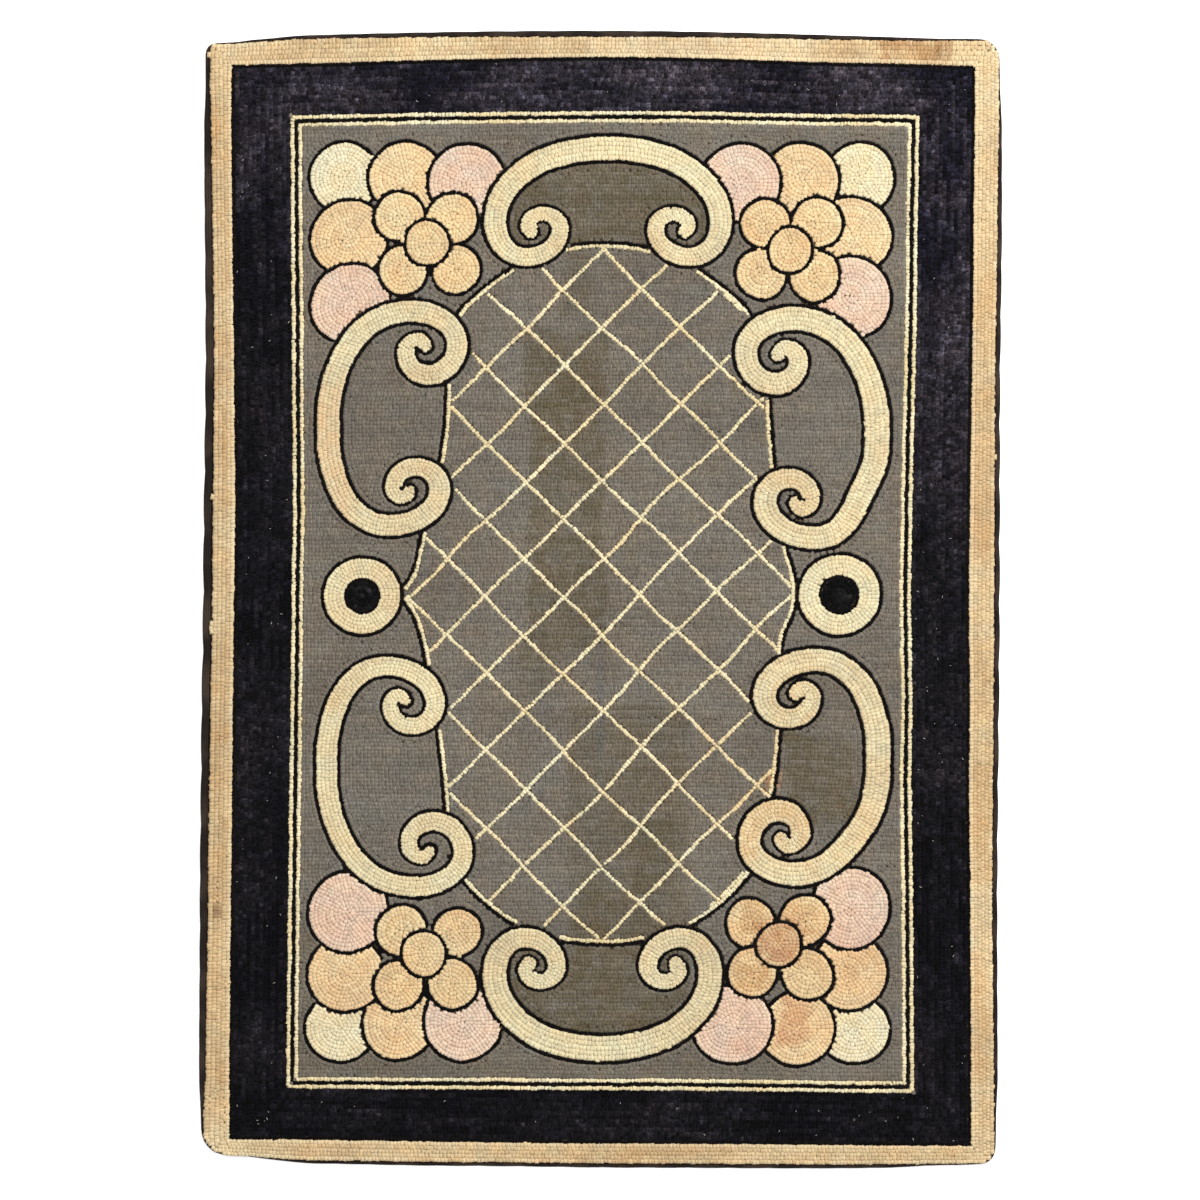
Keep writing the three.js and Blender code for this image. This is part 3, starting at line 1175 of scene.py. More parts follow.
@dataclass
class Wear:
    """Where the wool changed colour: browned ground, stains and pale rims, with painted light on the navy
    border.
    """

    brown: tuple = (97, 86, 62)
    # Browned stretches of the ground: the middle across and along, half the width and length, and strength.
    browned: tuple = (
        (26.0, 537.0, 145.0, 54.0, 0.62),
        (2.0, -527.0, 122.0, 62.0, 0.62),
        (-46.0, 148.0, 52.0, 214.0, 0.58),
        (-50.0, 292.0, 36.0, 46.0, 0.4),
        (-30.0, 440.0, 18.0, 50.0, 0.35),
        (-88.0, -92.0, 22.0, 30.0, 0.4),
        (36.0, -300.0, 80.0, 160.0, 0.42),
        (66.0, -342.0, 30.0, 48.0, 0.4),
        (20.0, -420.0, 52.0, 44.0, 0.32),
        (298.0, -240.0, 46.0, 60.0, 0.6),
        (-395.0, -540.0, 30.0, 120.0, 0.25),
        (-330.0, 345.0, 26.0, 26.0, 0.3),
        (-60.0, -600.0, 300.0, 46.0, 0.2),
    )
    browned_edge: float = 12.0
    streak: tuple = ((0.0, -135.0, 4.0, 80.0), (92, 97, 108), 0.32)
    # Stains: the middle, half the width and length, the strength, the colour, and the wool that took it.
    stains: tuple = (
        (424.0, 745.0, 46.0, 18.0, 0.75, (178, 134, 88), Wool.TAN),
        (462.0, 742.0, 12.0, 9.0, 0.4, (146, 102, 66), Wool.TAN),
        (519.0, 430.0, 15.0, 60.0, 0.3, (206, 164, 112), Wool.TAN),
        (516.0, 130.0, 14.0, 60.0, 0.35, (206, 160, 110), Wool.TAN),
        (514.0, -300.0, 14.0, 80.0, 0.4, (208, 162, 108), Wool.TAN),
        (508.0, -560.0, 12.0, 90.0, 0.35, (206, 160, 108), Wool.TAN),
        (-525.0, -20.0, 24.0, 690.0, 0.3, (182, 142, 96), Wool.TAN),
        (0.0, -750.0, 480.0, 22.0, 0.25, (188, 148, 100), Wool.TAN),
        (130.0, 745.0, 150.0, 22.0, 0.4, (240, 221, 184), Wool.TAN),
        (-516.0, -416.0, 6.0, 9.0, 0.7, (120, 92, 66), Wool.TAN),
        (-524.0, 640.0, 8.0, 30.0, 0.35, (206, 156, 98), Wool.TAN),
        (240.0, -463.0, 30.0, 30.0, 0.75, (190, 136, 98), Wool.PETAL),
        (205.0, -425.0, 16.0, 22.0, 0.5, (196, 148, 96), Wool.PETAL),
        (270.0, -430.0, 22.0, 18.0, 0.55, (202, 150, 100), Wool.PETAL),
        (205.0, -508.0, 24.0, 16.0, 0.55, (196, 148, 96), Wool.PETAL),
        (262.0, -560.0, 21.0, 36.0, 0.62, (204, 152, 112), Wool.PEACH),
        (-236.0, -622.0, 14.0, 12.0, 0.55, (214, 160, 104), Wool.PEACH),
        (196.0, -600.0, 14.0, 10.0, 0.3, (200, 150, 120), Wool.PINK),
        (231.0, -247.0, 9.0, 15.0, 0.9, (170, 130, 94), Wool.GROUND),
        (225.0, -298.0, 60.0, 60.0, 0.45, (214, 170, 118), Wool.SCROLL),
        (330.0, -330.0, 60.0, 60.0, 0.35, (222, 182, 130), Wool.SCROLL),
        (-365.0, 200.0, 24.0, 95.0, 0.5, (222, 186, 142), Wool.SCROLL),
        (190.0, -230.0, 50.0, 60.0, 0.4, (214, 176, 120), Wool.CREAM),
    )
    rim: float = 4.0  # mm from the edge of the tan that stays pale
    rim_share: float = 0.32  # how pale
    pale: tuple = (244, 222, 182)
    hue: float = 0.05  # how far patches of any wool lean warm or cool
    albedo: float = 0.68  # the studio's light makes up the rest

    def patch(self, x: np.ndarray, y: np.ndarray, at: tuple, edge: float) -> np.ndarray:
        """Measures how far places are inside an uneven soft-edged patch.

        Args:
            x: Places across the rug in mm.
            y: Places along it in mm.
            at: The patch's middle, half its width and half its length.
            edge: How wide its soft edge is in mm.

        Returns:
            Shares from 0 outside to 1 inside.
        """
        stray = Wander(26, 60).at(x, y) * 0.5 * edge
        across = (at[2] - np.abs(x - at[0]) + stray) / edge
        along = (at[3] - np.abs(y - at[1]) + stray) / edge
        blotch = 0.85 + 0.6 * Wander(8, 63).at(x, y)
        return np.clip(ease(np.minimum(across, along) + 0.5) * blotch, 0, 1)

    @staticmethod
    def tinted(made: np.ndarray, colour: tuple, share: np.ndarray) -> np.ndarray:
        """Leans colours to another by each one's share."""
        share = share[:, None]
        return made * (1 - share) + linear(*colour) * share

    def colours(self, loops: np.ndarray, layout: Layout) -> np.ndarray:
        """Dyes every loop.

        Args:
            loops: The loops.
            layout: Where they were laid out.

        Returns:
            One linear colour for each loop.
        """
        draw = np.random.RandomState(SEED + 5)
        x, y, kinds = loops[:, 0], loops[:, 1], loops[:, KIND].astype(int)
        borders = layout.drawing.borders
        made = np.zeros((len(loops), 3))
        drift = 0.5 * Wander(34, 61).at(x, y) + 0.8 * Wander(120, 62).at(x, y)
        bright = draw.uniform(-1, 1, len(loops))
        fleck = np.clip(0.65 * draw.normal(0, 1, len(loops)) + 1.3 * Wander(8, 64).at(x, y), -2.6, 2.6)
        for wool, dye in DYES.items():
            on = kinds == wool.value
            lean = np.clip(0.35 + dye.strips * loops[on, STRIP] + dye.drift * drift[on], 0, 1)[:, None]
            colour = linear(*dye.colour) * (1 - lean) + linear(*dye.other) * lean
            stray = np.exp(dye.flecks * (fleck[on] - 0.5 * dye.flecks))
            made[on] = colour * ((1 + dye.loops * bright[on]) * stray)[:, None]
        ground = kinds == Wool.GROUND.value
        for *at, strength in self.browned:
            share = self.patch(x, y, at, self.browned_edge) * strength * (1 + 0.25 * loops[:, STRIP])
            made = self.tinted(made, self.brown, np.clip(share, 0, 1) * ground)
        at, colour, strength = self.streak
        made = self.tinted(made, colour, self.patch(x, y, at, 4.0) * strength * ground)
        for *at, strength, colour, wool in self.stains:
            soft = 0.45 * min(at[2], at[3]) + 3
            share = self.patch(x, y, at, soft) * strength * (kinds == wool.value)
            made = self.tinted(made, colour, share)
        tan = kinds == Wool.TAN.value
        outer, inner = ~borders.hooked(x, y, self.rim), borders.inside(x, y, "navy", -self.rim)
        made = self.tinted(made, self.pale, self.rim_share * (tan & (outer | inner)))
        lift = (0.25 + 0.66 * ease(y / 550 + x / 1590 - 0.255))[:, None]  # painted light: the navy is made paler towards the top right, where the light falls on it
        made = np.where((kinds == Wool.NAVY.value)[:, None], made * lift, made)
        warm = self.hue * Wander(20, 65).at(x, y)[:, None] * (1.0, 0.0, -1.0)
        return np.clip(made * (1 + warm) * self.albedo, 0.001, 0.95)


@dataclass
class LoopForm:
    """One loop of hooked wool: a small pillow, broadest halfway up, with a short ridge across its row."""

    root: float = 3.2  # mm above the floor where the loop leaves the cloth
    belly: float = 6.6  # the height where it is broadest
    crown: float = 8.0
    half_wide: float = 3.2  # mm across the row
    half_long: float = 3.1  # mm along it
    shoulder: float = 3.25  # mm across the row at its four corners
    ridge: float = 1.6
    cell: float = 0.47  # how much of its cell on the map the loop takes, to each side

    def model(self) -> tuple[np.ndarray, list[tuple[int, ...]]]:
        """Models the loop: a six-sided post, cut halfway, its top pinched to a ridge and its foot to a point.

        Returns:
            The corners in mm, and the faces.
        """
        deselect()
        height = (self.crown - self.root) * MM
        bpy.ops.mesh.primitive_cylinder_add(vertices=6, radius=self.half_wide * MM, depth=height)
        loop = bpy.context.object
        bpy.ops.object.mode_set(mode="EDIT")
        bpy.ops.mesh.select_mode(type="EDGE")
        bpy.ops.mesh.select_all(action="DESELECT")
        bpy.ops.object.mode_set(mode="OBJECT")
        for edge in loop.data.edges:
            low, high = (loop.data.vertices[v].co for v in edge.vertices)
            edge.select = abs(low.z - high.z) > height / 2
        bpy.ops.object.mode_set(mode="EDIT")
        bpy.ops.mesh.subdivide(number_cuts=1)
        third = height / 3
        for pick in (
            lambda p: p.z < -third,
            lambda p: p.z > third and p.y > 0,
            lambda p: p.z > third and p.y < 0,
        ):
            bpy.ops.mesh.select_mode(type="VERT")
            bpy.ops.mesh.select_all(action="DESELECT")
            bpy.ops.object.mode_set(mode="OBJECT")
            for vertex in loop.data.vertices:
                vertex.select = pick(vertex.co)
            bpy.ops.object.mode_set(mode="EDIT")
            bpy.ops.mesh.merge(type="CENTER")
        face_outwards()
        place = np.array([v.co for v in loop.data.vertices]) / MM
        faces = [tuple(p.vertices) for p in loop.data.polygons]
        bpy.data.objects.remove(loop)
        middle = np.abs(place[:, 2]) < 0.1
        top = place[:, 2] > 0.1
        corner = middle & (np.abs(place[:, 0]) > 0.5)
        place[corner, :2] = np.sign(place[corner, :2]) * (self.half_long, self.shoulder)
        place[top, 1] = np.sign(place[top, 1]) * self.ridge
        place[:, 2] = np.where(middle, self.belly, np.where(top, self.crown, self.root))
        return place, faces

    def lift(self, height: np.ndarray) -> np.ndarray:
        """Gives how far up the loop heights in mm are, from 0 at its root to 1 at its crown."""
        return (height - self.root) / (self.crown - self.root)

    def unfold(self, place: np.ndarray, faces: list[tuple[int, ...]]) -> np.ndarray:
        """Spreads the loop flat on the map, its foot opened out round it so that nothing overlaps.

        Args:
            place: The loop's corners.
            faces: Its faces.

        Returns:
            A place on the map for each face's corners in turn, from -0.5 to 0.5.
        """
        spread = []
        inner = 0.62 * self.cell
        for face in faces:
            belt = [v for v in face if abs(place[v, 2] - self.belly) < 0.1]
            for v in face:
                x, y, z = place[v]
                if z < self.belly - 0.1:
                    way = sum(place[b, :2] / np.hypot(*place[b, :2]) for b in belt)
                    spread.append(way / np.hypot(*way) * self.cell)
                elif z > self.belly + 0.1:
                    spread.append(np.array([x, y]) / self.half_wide * inner)
                else:
                    spread.append(np.array([x, y]) / np.hypot(x, y) * inner)
        return np.array(spread)


@dataclass
class Pile:
    """The hooked pile: copies of one loop, in a piece for each part of the ornament."""

    form: LoopForm
    most: int = 14000  # loops in one piece, which keeps it under 200,000 triangles
    skew: tuple[float, float] = (0.14, 0.27)  # how far loops lie askew in fillings and in lines
    tallest: float = 8.35  # mm, above the floor
    swell: float = 0.25  # mm that whole patches of the pile stand higher or lower
    uneven: float = 0.2  # mm that one loop does
    raised: float = 0.05  # mm that all of them stand higher than the modelled one
    lean: float = 0.22  # mm that a loop's top leans
    rough: float = 0.1  # mm that each of its corners strays

    def __post_init__(self) -> None:
        """Models the loop that all the others copy."""
        self.place, self.faces = self.form.model()
        self.map = self.form.unfold(self.place, self.faces)

    def groups(self, loops: np.ndarray) -> Iterator[tuple[str, np.ndarray]]:
        """Sorts the loops into pieces.

        Args:
            loops: The loops.

        Yields:
            Each piece's name and its loops' numbers.
        """
        kinds = loops[:, KIND].astype(int)
        parts = (
            ("tan_rim_loops", (Wool.TAN,)),
            ("navy_border_loops", (Wool.NAVY,)),
            ("outline_loops", (Wool.BLACK,)),
            ("guard_and_trellis_loops", (Wool.CREAM,)),
            ("scroll_and_ring_loops", (Wool.SCROLL, Wool.EYE)),
            ("flower_loops", (Wool.PETAL, Wool.PEACH, Wool.IVORY, Wool.PINK)),
            ("ground_loops", (Wool.GROUND,)),
        )
        for name, wools in parts:
            on = np.flatnonzero(np.isin(kinds, [wool.value for wool in wools]))
            count = -(-len(on) // self.most)
            on = on[np.argsort(-loops[on, 1], kind="stable")]
            for number, share in enumerate(np.array_split(on, count)):
                yield (name if count == 1 else f"{name}_{number + 1}"), share

    def sizes(self, loops: np.ndarray) -> np.ndarray:
        """Swells loops where they have room, and squeezes them where they are crowded.

        Args:
            loops: The loops.

        Returns:
            How long and how wide each loop is against the modelled one.
        """
        own = np.arange(len(loops))
        c, s = np.cos(loops[:, 2]), np.sin(loops[:, 2])
        found = np.full((4, len(loops)), np.inf)
        for other in Bins(loops[:, :2], 1.5 * ROW).near(loops[:, :2]):
            gap = loops[other, :2] - loops[:, :2]
            along, across = gap[:, 0] * c + gap[:, 1] * s, gap[:, 1] * c - gap[:, 0] * s
            there = (other >= 0) & (other != own)
            ways = ((along, across), (-along, across), (across, along), (-across, along))
            for row, (near, far) in enumerate(ways):
                found[row] = np.minimum(found[row], np.where(there & (near > np.abs(far)), near, np.inf))
        found[np.isinf(found)] = 0
        size = np.column_stack([np.maximum(*found[:2]) / LOOP, np.maximum(*found[2:]) / ROW])
        size = np.clip(size, 0.86, (1.3, 1.36))
        for wool, wide in ((Wool.BLACK, 0.84), (Wool.CREAM, 0.92)):
            on = loops[:, KIND] == wool.value
            size[on, 1] = np.minimum(size[on, 1], 1.0) * wide
        lines = in_lines(loops)
        size[lines] *= np.random.RandomState(SEED + 7).uniform(0.74, 1.16, (lines.sum(), 2))
        return size

    def build(self, name: str, loops: np.ndarray, colours: np.ndarray, sizes: np.ndarray) -> bpy.types.Object:
        """Builds one piece of the pile.

        Args:
            name: The piece's name.
            loops: Its loops.
            colours: Their linear colours.
            sizes: How long and how wide they are.

        Returns:
            The piece.
        """
        draw = np.random.RandomState(SEED + len(name))
        count, corners = len(loops), len(self.place)
        turn = loops[:, 2] + draw.normal(0, 1, count) * np.where(in_lines(loops), *self.skew[::-1])
        patches = Wander(60, 80).at(loops[:, 0], loops[:, 1])
        height = patches * self.swell + draw.normal(0, self.uneven, count) + self.raised
        long, wide = sizes.T * draw.uniform(0.93, 1.07, (2, count))
        lean = draw.normal(0, self.lean, (count, 2))
        shape = np.repeat(self.place[None], count, axis=0)
        shape[:, :, 0] *= long[:, None]
        shape[:, :, 1] *= wide[:, None]
        lift = self.form.lift(shape[:, :, 2])
        shape[:, :, 2] += lift * height[:, None]
        shape[:, :, 2] = np.minimum(shape[:, :, 2], self.tallest)
        shape[:, :, :2] += lift[:, :, None] * lean[:, None] + draw.normal(0, self.rough, (count, corners, 2))
        points = np.stack([*turned(shape, turn, loops), shape[:, :, 2]], axis=-1) * MM
        corner = np.concatenate([np.array(face) for face in self.faces])
        totals = np.array([len(face) for face in self.faces])
        mesh = bpy.data.meshes.new(name)
        mesh.vertices.add(count * corners)
        mesh.vertices.foreach_set("co", points.astype(np.float32).ravel())
        mesh.loops.add(count * len(corner))
        numbers = np.arange(count)[:, None] * corners + corner
        mesh.loops.foreach_set("vertex_index", numbers.astype(np.int32).ravel())
        mesh.polygons.add(count * len(totals))
        starts = np.concatenate([[0], np.cumsum(np.tile(totals, count))[:-1]])
        mesh.polygons.foreach_set("loop_start", starts.astype(np.int32))
        mesh.polygons.foreach_set("use_smooth", np.ones(count * len(totals), bool))
        across = int(math.ceil(math.sqrt(count)))
        cell = np.stack([np.arange(count) % across, np.arange(count) // across], axis=-1)[:, None] + 0.5
        places = (cell + self.map) / across
        mesh.uv_layers.new(name="OFBake").data.foreach_set("uv", places.astype(np.float32).ravel())
        # marks each loop's top, where the wool's material paints shade in the fold
        fold = np.tile(self.place[:, 2] > self.form.belly + 0.1, count).astype(np.float32)
        mesh.attributes.new("fold", "FLOAT", "POINT").data.foreach_set("value", fold)
        dye = mesh.color_attributes.new("dye", "FLOAT_COLOR", "POINT")
        rgba = np.ones((count, corners, 4), np.float32)
        rgba[:, :, :3] = colours[:, None]
        dye.data.foreach_set("color", rgba.ravel())
        mesh.update(calc_edges=True)
        mesh.validate()
        return linked(name, mesh)


@dataclass
class Nodes:
    """Builds one material's nodes."""

    name: str

    def __post_init__(self) -> None:
        """Starts the material with its shader and output."""
        self.material = bpy.data.materials.new(self.name)
        self.material.use_nodes = True
        self.tree = self.material.node_tree
        self.shader = self.tree.nodes["Principled BSDF"]

    def add(self, kind: str, settings: dict | None = None, **inputs) -> bpy.types.Node:
        """Adds a node.

        Args:
            kind: The node's type.
            settings: Its properties.
            **inputs: Its sockets' values or what feeds them, by name with underscores for spaces, or i0, i1.

        Returns:
            The node.
        """
        node = self.tree.nodes.new(kind)
        for key, value in (settings or {}).items():
            setattr(node, key, value)
        for key, value in inputs.items():
            numbered = key[0] == "i" and key[1:].isdigit()
            self.feed(node.inputs[int(key[1:]) if numbered else key.replace("_", " ")], value)
        return node

    def where(self) -> bpy.types.NodeSocket:
        """Gives the socket of places on the piece, in metres."""
        return self.add("ShaderNodeTexCoord").outputs["Object"]

    def read(self, attribute: str, output: str = "Color") -> bpy.types.NodeSocket:
        """Gives the socket of one of the mesh's attributes."""
        return self.add("ShaderNodeAttribute", {"attribute_name": attribute}).outputs[output]

    def height(self, where: bpy.types.NodeSocket) -> bpy.types.NodeSocket:
        """Gives the socket of the height of places."""
        return self.add("ShaderNodeSeparateXYZ", Vector=where).outputs["Z"]

    def tone(self, colour: tuple) -> bpy.types.NodeSocket:
        """Gives the socket of a plain colour, in linear parts."""
        node = self.add("ShaderNodeRGB")
        node.outputs[0].default_value = (*colour, 1)
        return node.outputs[0]

    def ribs(self, where: bpy.types.NodeSocket, run: str, pitch: float, stray: float) -> bpy.types.NodeSocket:
        """Adds ribs that run a way of Blender's, a pitch in metres apart, and gives their value's socket."""
        size = {"Scale": 2 * math.pi / pitch / 20, "Distortion": stray}
        return self.add("ShaderNodeTexWave", {"bands_direction": run}, Vector=where, **size).outputs[0]

    def feed(self, socket: bpy.types.NodeSocket, value) -> None:
        """Sets a socket's value, or links another socket to it."""
        if isinstance(value, bpy.types.NodeSocket):
            self.tree.links.new(value, socket)
        else:
            socket.default_value = value

    def finish(self, **inputs) -> bpy.types.Material:
        """Sets the shader's sockets and returns the material."""
        for key, value in inputs.items():
            self.feed(self.shader.inputs[key.replace("_", " ")], value)
        return self.material

    def noise(self, where: bpy.types.NodeSocket, scale: float, detail: float = 3.0) -> bpy.types.NodeSocket:
        """Adds noise and gives its value's socket."""
        return self.add("ShaderNodeTexNoise", Vector=where, Scale=scale, Detail=detail).outputs[0]

    def spread(self, value: bpy.types.NodeSocket, low: tuple, high: tuple) -> bpy.types.NodeSocket:
        """Maps a value from one range to another.

        Args:
            value: The value's socket.
            low: The lower value, and what it becomes.
            high: The higher value, and what it becomes.

        Returns:
            The mapped value's socket.
        """
        node = self.add("ShaderNodeMapRange", {"interpolation_type": "SMOOTHSTEP"}, Value=value)
        for end, (start, becomes) in (("Min", low), ("Max", high)):
            node.inputs[f"From {end}"].default_value = start
            node.inputs[f"To {end}"].default_value = becomes
        return node.outputs[0]

    def times(self, colour: bpy.types.NodeSocket, share: bpy.types.NodeSocket) -> bpy.types.NodeSocket:
        """Multiplies a colour by a value."""
        node = self.add("ShaderNodeVectorMath", {"operation": "SCALE"}, i0=colour)
        self.feed(node.inputs["Scale"], share)
        return node.outputs[0]

    def bump(self, height: bpy.types.NodeSocket, strength: float, distance: float) -> bpy.types.NodeSocket:
        """Adds a bump and gives its normal's socket."""
        return self.add("ShaderNodeBump", Height=height, Strength=strength, Distance=distance).outputs[0]


@dataclass(frozen=True)
class WoolFinish:
    """Hooked wool strips: fuzzy cut cloth, with painted shade deep between the loops and in the fold across each
    loop's top.
    """

    name: str = "pale_wool"
    crevice_shade: float = 0.78  # painted shade: what is left of the colour deep between the loops
    crease: float = 0.82  # painted shade: what is left of the colour in the fold across each loop's top
    mottle: float = 0.06  # how unevenly a strip shows its colour from thread to thread
    roughness: float = 0.94
    sheen: float = 0.02
    fibre: float = 900.0  # fibres to the metre, near enough
    thread: float = 330.0  # and threads
    deep: float = 0.0050  # metres above the floor where the painted shade is deepest
    shown: float = 0.0071  # and where it ends

    def material(self) -> bpy.types.Material:
        """Builds the material."""
        made = Nodes(self.name)
        where = made.where()
        low, high = (0.34, 1 - self.mottle), (0.66, 1 + 0.7 * self.mottle)
        colour = made.read("dye")
        for share in (
            # painted shade, darkest deep between the loops
            made.spread(made.height(where), (self.deep, self.crevice_shade), (self.shown, 1.0)),
            made.spread(made.noise(where, self.fibre), (0.3, 0.84), (0.7, 1.1)),
            # painted shade in the fold across each loop's top
            made.spread(made.read("fold", "Fac"), (0.66, 1.0), (0.94, self.crease)),
            made.spread(made.noise(where, self.thread, 2.0), low, high),
        ):
            colour = made.times(colour, share)
        weave = made.noise(where, self.fibre * 1.9, 2.0)
        return made.finish(
            Base_Color=colour,
            Roughness=self.roughness,
            Specular_IOR_Level=0.05,
            Sheen_Weight=self.sheen,
            Sheen_Roughness=0.5,
            Normal=made.bump(weave, 0.5, 0.0006),
        )


@dataclass(frozen=True)
class BackingFinish:
    """The cloth's back: the loops' flat undersides in rows through the weave; its top, seen between the loops,
    takes painted shade.
    """

    roughness: float = 0.95
    under_pile: float = 0.28  # painted shade: how much of its colour is left between the loops
    weave: float = 700.0  # threads to the metre, near enough

    def material(self) -> bpy.types.Material:
        """Builds the material."""
        made = Nodes("hooked_back")
        where = made.where()
        rows = made.add("ShaderNodeTexBrick", Vector=where, Scale=1.0)
        for key, value in (
            ("Color1", (1, 1, 1, 1)),
            ("Color2", (0.82, 0.82, 0.82, 1)),
            ("Mortar", (0.3, 0.3, 0.3, 1)),
            ("Mortar Size", 0.0007),
            ("Mortar Smooth", 0.9),
            ("Brick Width", LOOP * MM),
            ("Row Height", ROW * MM),
        ):
            rows.inputs[key].default_value = value
        relief = made.spread(rows.outputs["Color"], (0.3, 0.5), (0.95, 1.0))
        weave = made.spread(made.noise(where, self.weave), (0.3, 0.85), (0.7, 1.08))
        # painted shade on the cloth's top, where it lies under the pile
        pile_shade = made.spread(made.height(where), (0.0032, 1.0), (0.0044, self.under_pile))
        colour = made.times(made.times(made.times(made.read("dye"), relief), weave), pile_shade)
        return made.finish(
            Base_Color=colour,
            Roughness=self.roughness,
            Specular_IOR_Level=0.15,
            Normal=made.bump(relief, 0.7, 0.0008),
        )


@dataclass(frozen=True)
class TapeFinish:
    """Dark twill binding tape, ribbed lengthwise and worn paler in patches."""

    colour: tuple = (27, 21, 18)
    worn: tuple = (50, 41, 34)
    ribs: float = 0.0016  # metres from rib to rib
    twill: float = 0.0008  # and between the twill's slanting lines

    def material(self) -> bpy.types.Material:
        """Builds the material."""
        made = Nodes("binding_twill")
        tape = made.read("tape", "Vector")
        rib, twill = made.ribs(tape, "Y", self.ribs, 0.6), made.ribs(tape, "DIAGONAL", self.twill, 0.3)
        patch = made.spread(made.noise(made.where(), 22.0), (0.38, 0.0), (0.68, 1.0))
        mix = made.add("ShaderNodeMix", {"data_type": "RGBA"}, i0=patch)
        for number, colour in ((6, self.colour), (7, self.worn)):
            mix.inputs[number].default_value = (*linear(*colour), 1)
        shade = made.times(mix.outputs[2], made.spread(rib, (0.2, 0.7), (0.8, 1.15)))
        cloth = made.add("ShaderNodeMath", {"operation": "ADD"}, i0=rib, i1=twill).outputs[0]
        return made.finish(
            Base_Color=shade,
            Roughness=0.85,
            Specular_IOR_Level=0.08,
            Normal=made.bump(cloth, 0.5, 0.0002),
        )


@dataclass(frozen=True)
class ThreadFinish:
    """Waxed linen thread."""

    colour: tuple = (142, 120, 92)

    def material(self) -> bpy.types.Material:
        """Builds the material."""
        made = Nodes("hem_thread")
        ply = made.noise(made.where(), 1400.0, 2.0)
        colour = made.times(made.tone(linear(*self.colour)), made.spread(ply, (0.3, 0.75), (0.7, 1.15)))
        return made.finish(Base_Color=colour, Roughness=0.7, Normal=made.bump(ply, 0.4, 0.0002))


@dataclass
class Foundation:
    """The cloth that the loops are hooked through, with the pattern showing on its back."""

    loops: np.ndarray
    colours: np.ndarray
    borders: Borders
    top: float = 4.6  # mm, where the loops leave it
    over_tape: float = 1.5  # mm, its underside where it lies on the turned-under tape
    tape_reach: float = 30.0
    slope: float = 9.0
    columns: int = 130
    rows: int = 184
    inset: float = 0.8
    start: tuple = (540.0, 762.0)  # half the grid's width and length before it is fitted
    corner: tuple = (0.86, 0.14)  # where the rounding of the corners starts, as a share, and how far it takes
    dye_reach: float = 2.4 * ROW  # how far off the cloth finds the loops whose colours it shows
    back_shade: float = 0.8  # how bright their colours are there
    crease: float = 40.0  # degrees, the least angle of a sharp edge

    def _lay(self, places: np.ndarray) -> np.ndarray:
        """Spreads a square grid over the hooked outline.

        Args:
            places: Grid places from -1 to 1.

        Returns:
            Places in mm, with their heights.
        """
        borders = self.borders
        x, y = places[:, 0] * self.start[0], places[:, 1] * self.start[1]
        for _ in range(4):
            left, right = (borders.line(side, y, "rim", self.inset) for side in (Side.LEFT, Side.RIGHT))
            low, high = (borders.line(side, x, "rim", self.inset) for side in (Side.BOTTOM, Side.TOP))
            x = -left + (right + left) * (places[:, 0] + 1) / 2
            y = -low + (high + low) * (places[:, 1] + 1) / 2
        limit = reach_at(borders.edge, np.arctan2(y, x)) - self.inset
        square = np.maximum(np.abs(places[:, 0]), np.abs(places[:, 1]))
        ratio = np.minimum(1.0, limit * square / np.maximum(np.hypot(x, y), 1.0))
        pull = 1 - (1 - ratio) * ease((square - self.corner[0]) / self.corner[1])
        x, y = x * pull, y * pull
        ways = ((Side.LEFT, y, -x), (Side.RIGHT, y, x), (Side.BOTTOM, x, -y), (Side.TOP, x, y))
        edge = np.minimum.reduce([borders.line(side, along, "rim") - out for side, along, out in ways])
        z = self.over_tape * ease((self.tape_reach + self.slope - edge) / self.slope)
        return np.column_stack([x, y, z])

    def build(self) -> bpy.types.Object:
        """Builds the cloth from a grid, its edge turned up and its top closed under the loops.

        Returns:
            The piece.
        """
        deselect()
        bpy.ops.mesh.primitive_grid_add(x_subdivisions=self.columns, y_subdivisions=self.rows, size=2)
        cloth = bpy.context.object
        cloth.name = cloth.data.name = "foundation_cloth"
        flat = np.array([v.co[:2] for v in cloth.data.vertices])
        placed = self._lay(flat)
        cloth.data.vertices.foreach_set("co", (placed * MM).astype(np.float32).ravel())
        bpy.ops.object.mode_set(mode="EDIT")
        bpy.ops.mesh.select_mode(type="EDGE")
        bpy.ops.mesh.select_all(action="DESELECT")
        bpy.ops.mesh.select_non_manifold()
        rise = (self.top - self.over_tape) * MM
        bpy.ops.mesh.extrude_region_move(TRANSFORM_OT_translate={"value": (0, 0, rise)})
        bpy.ops.mesh.edge_face_add()
        face_outwards()
        bpy.ops.object.shade_smooth_by_angle(angle=math.radians(self.crease))
        places = np.array([v.co[:2] for v in cloth.data.vertices]) / MM
        _, nearest = Bins(self.loops[:, :2], self.dye_reach).nearest(places)
        rgba = np.ones((len(places), 4), np.float32)
        rgba[:, :3] = self.colours[nearest] * self.back_shade
        cloth.data.color_attributes.new("dye", "FLOAT_COLOR", "POINT").data.foreach_set("color", rgba.ravel())
        return cloth


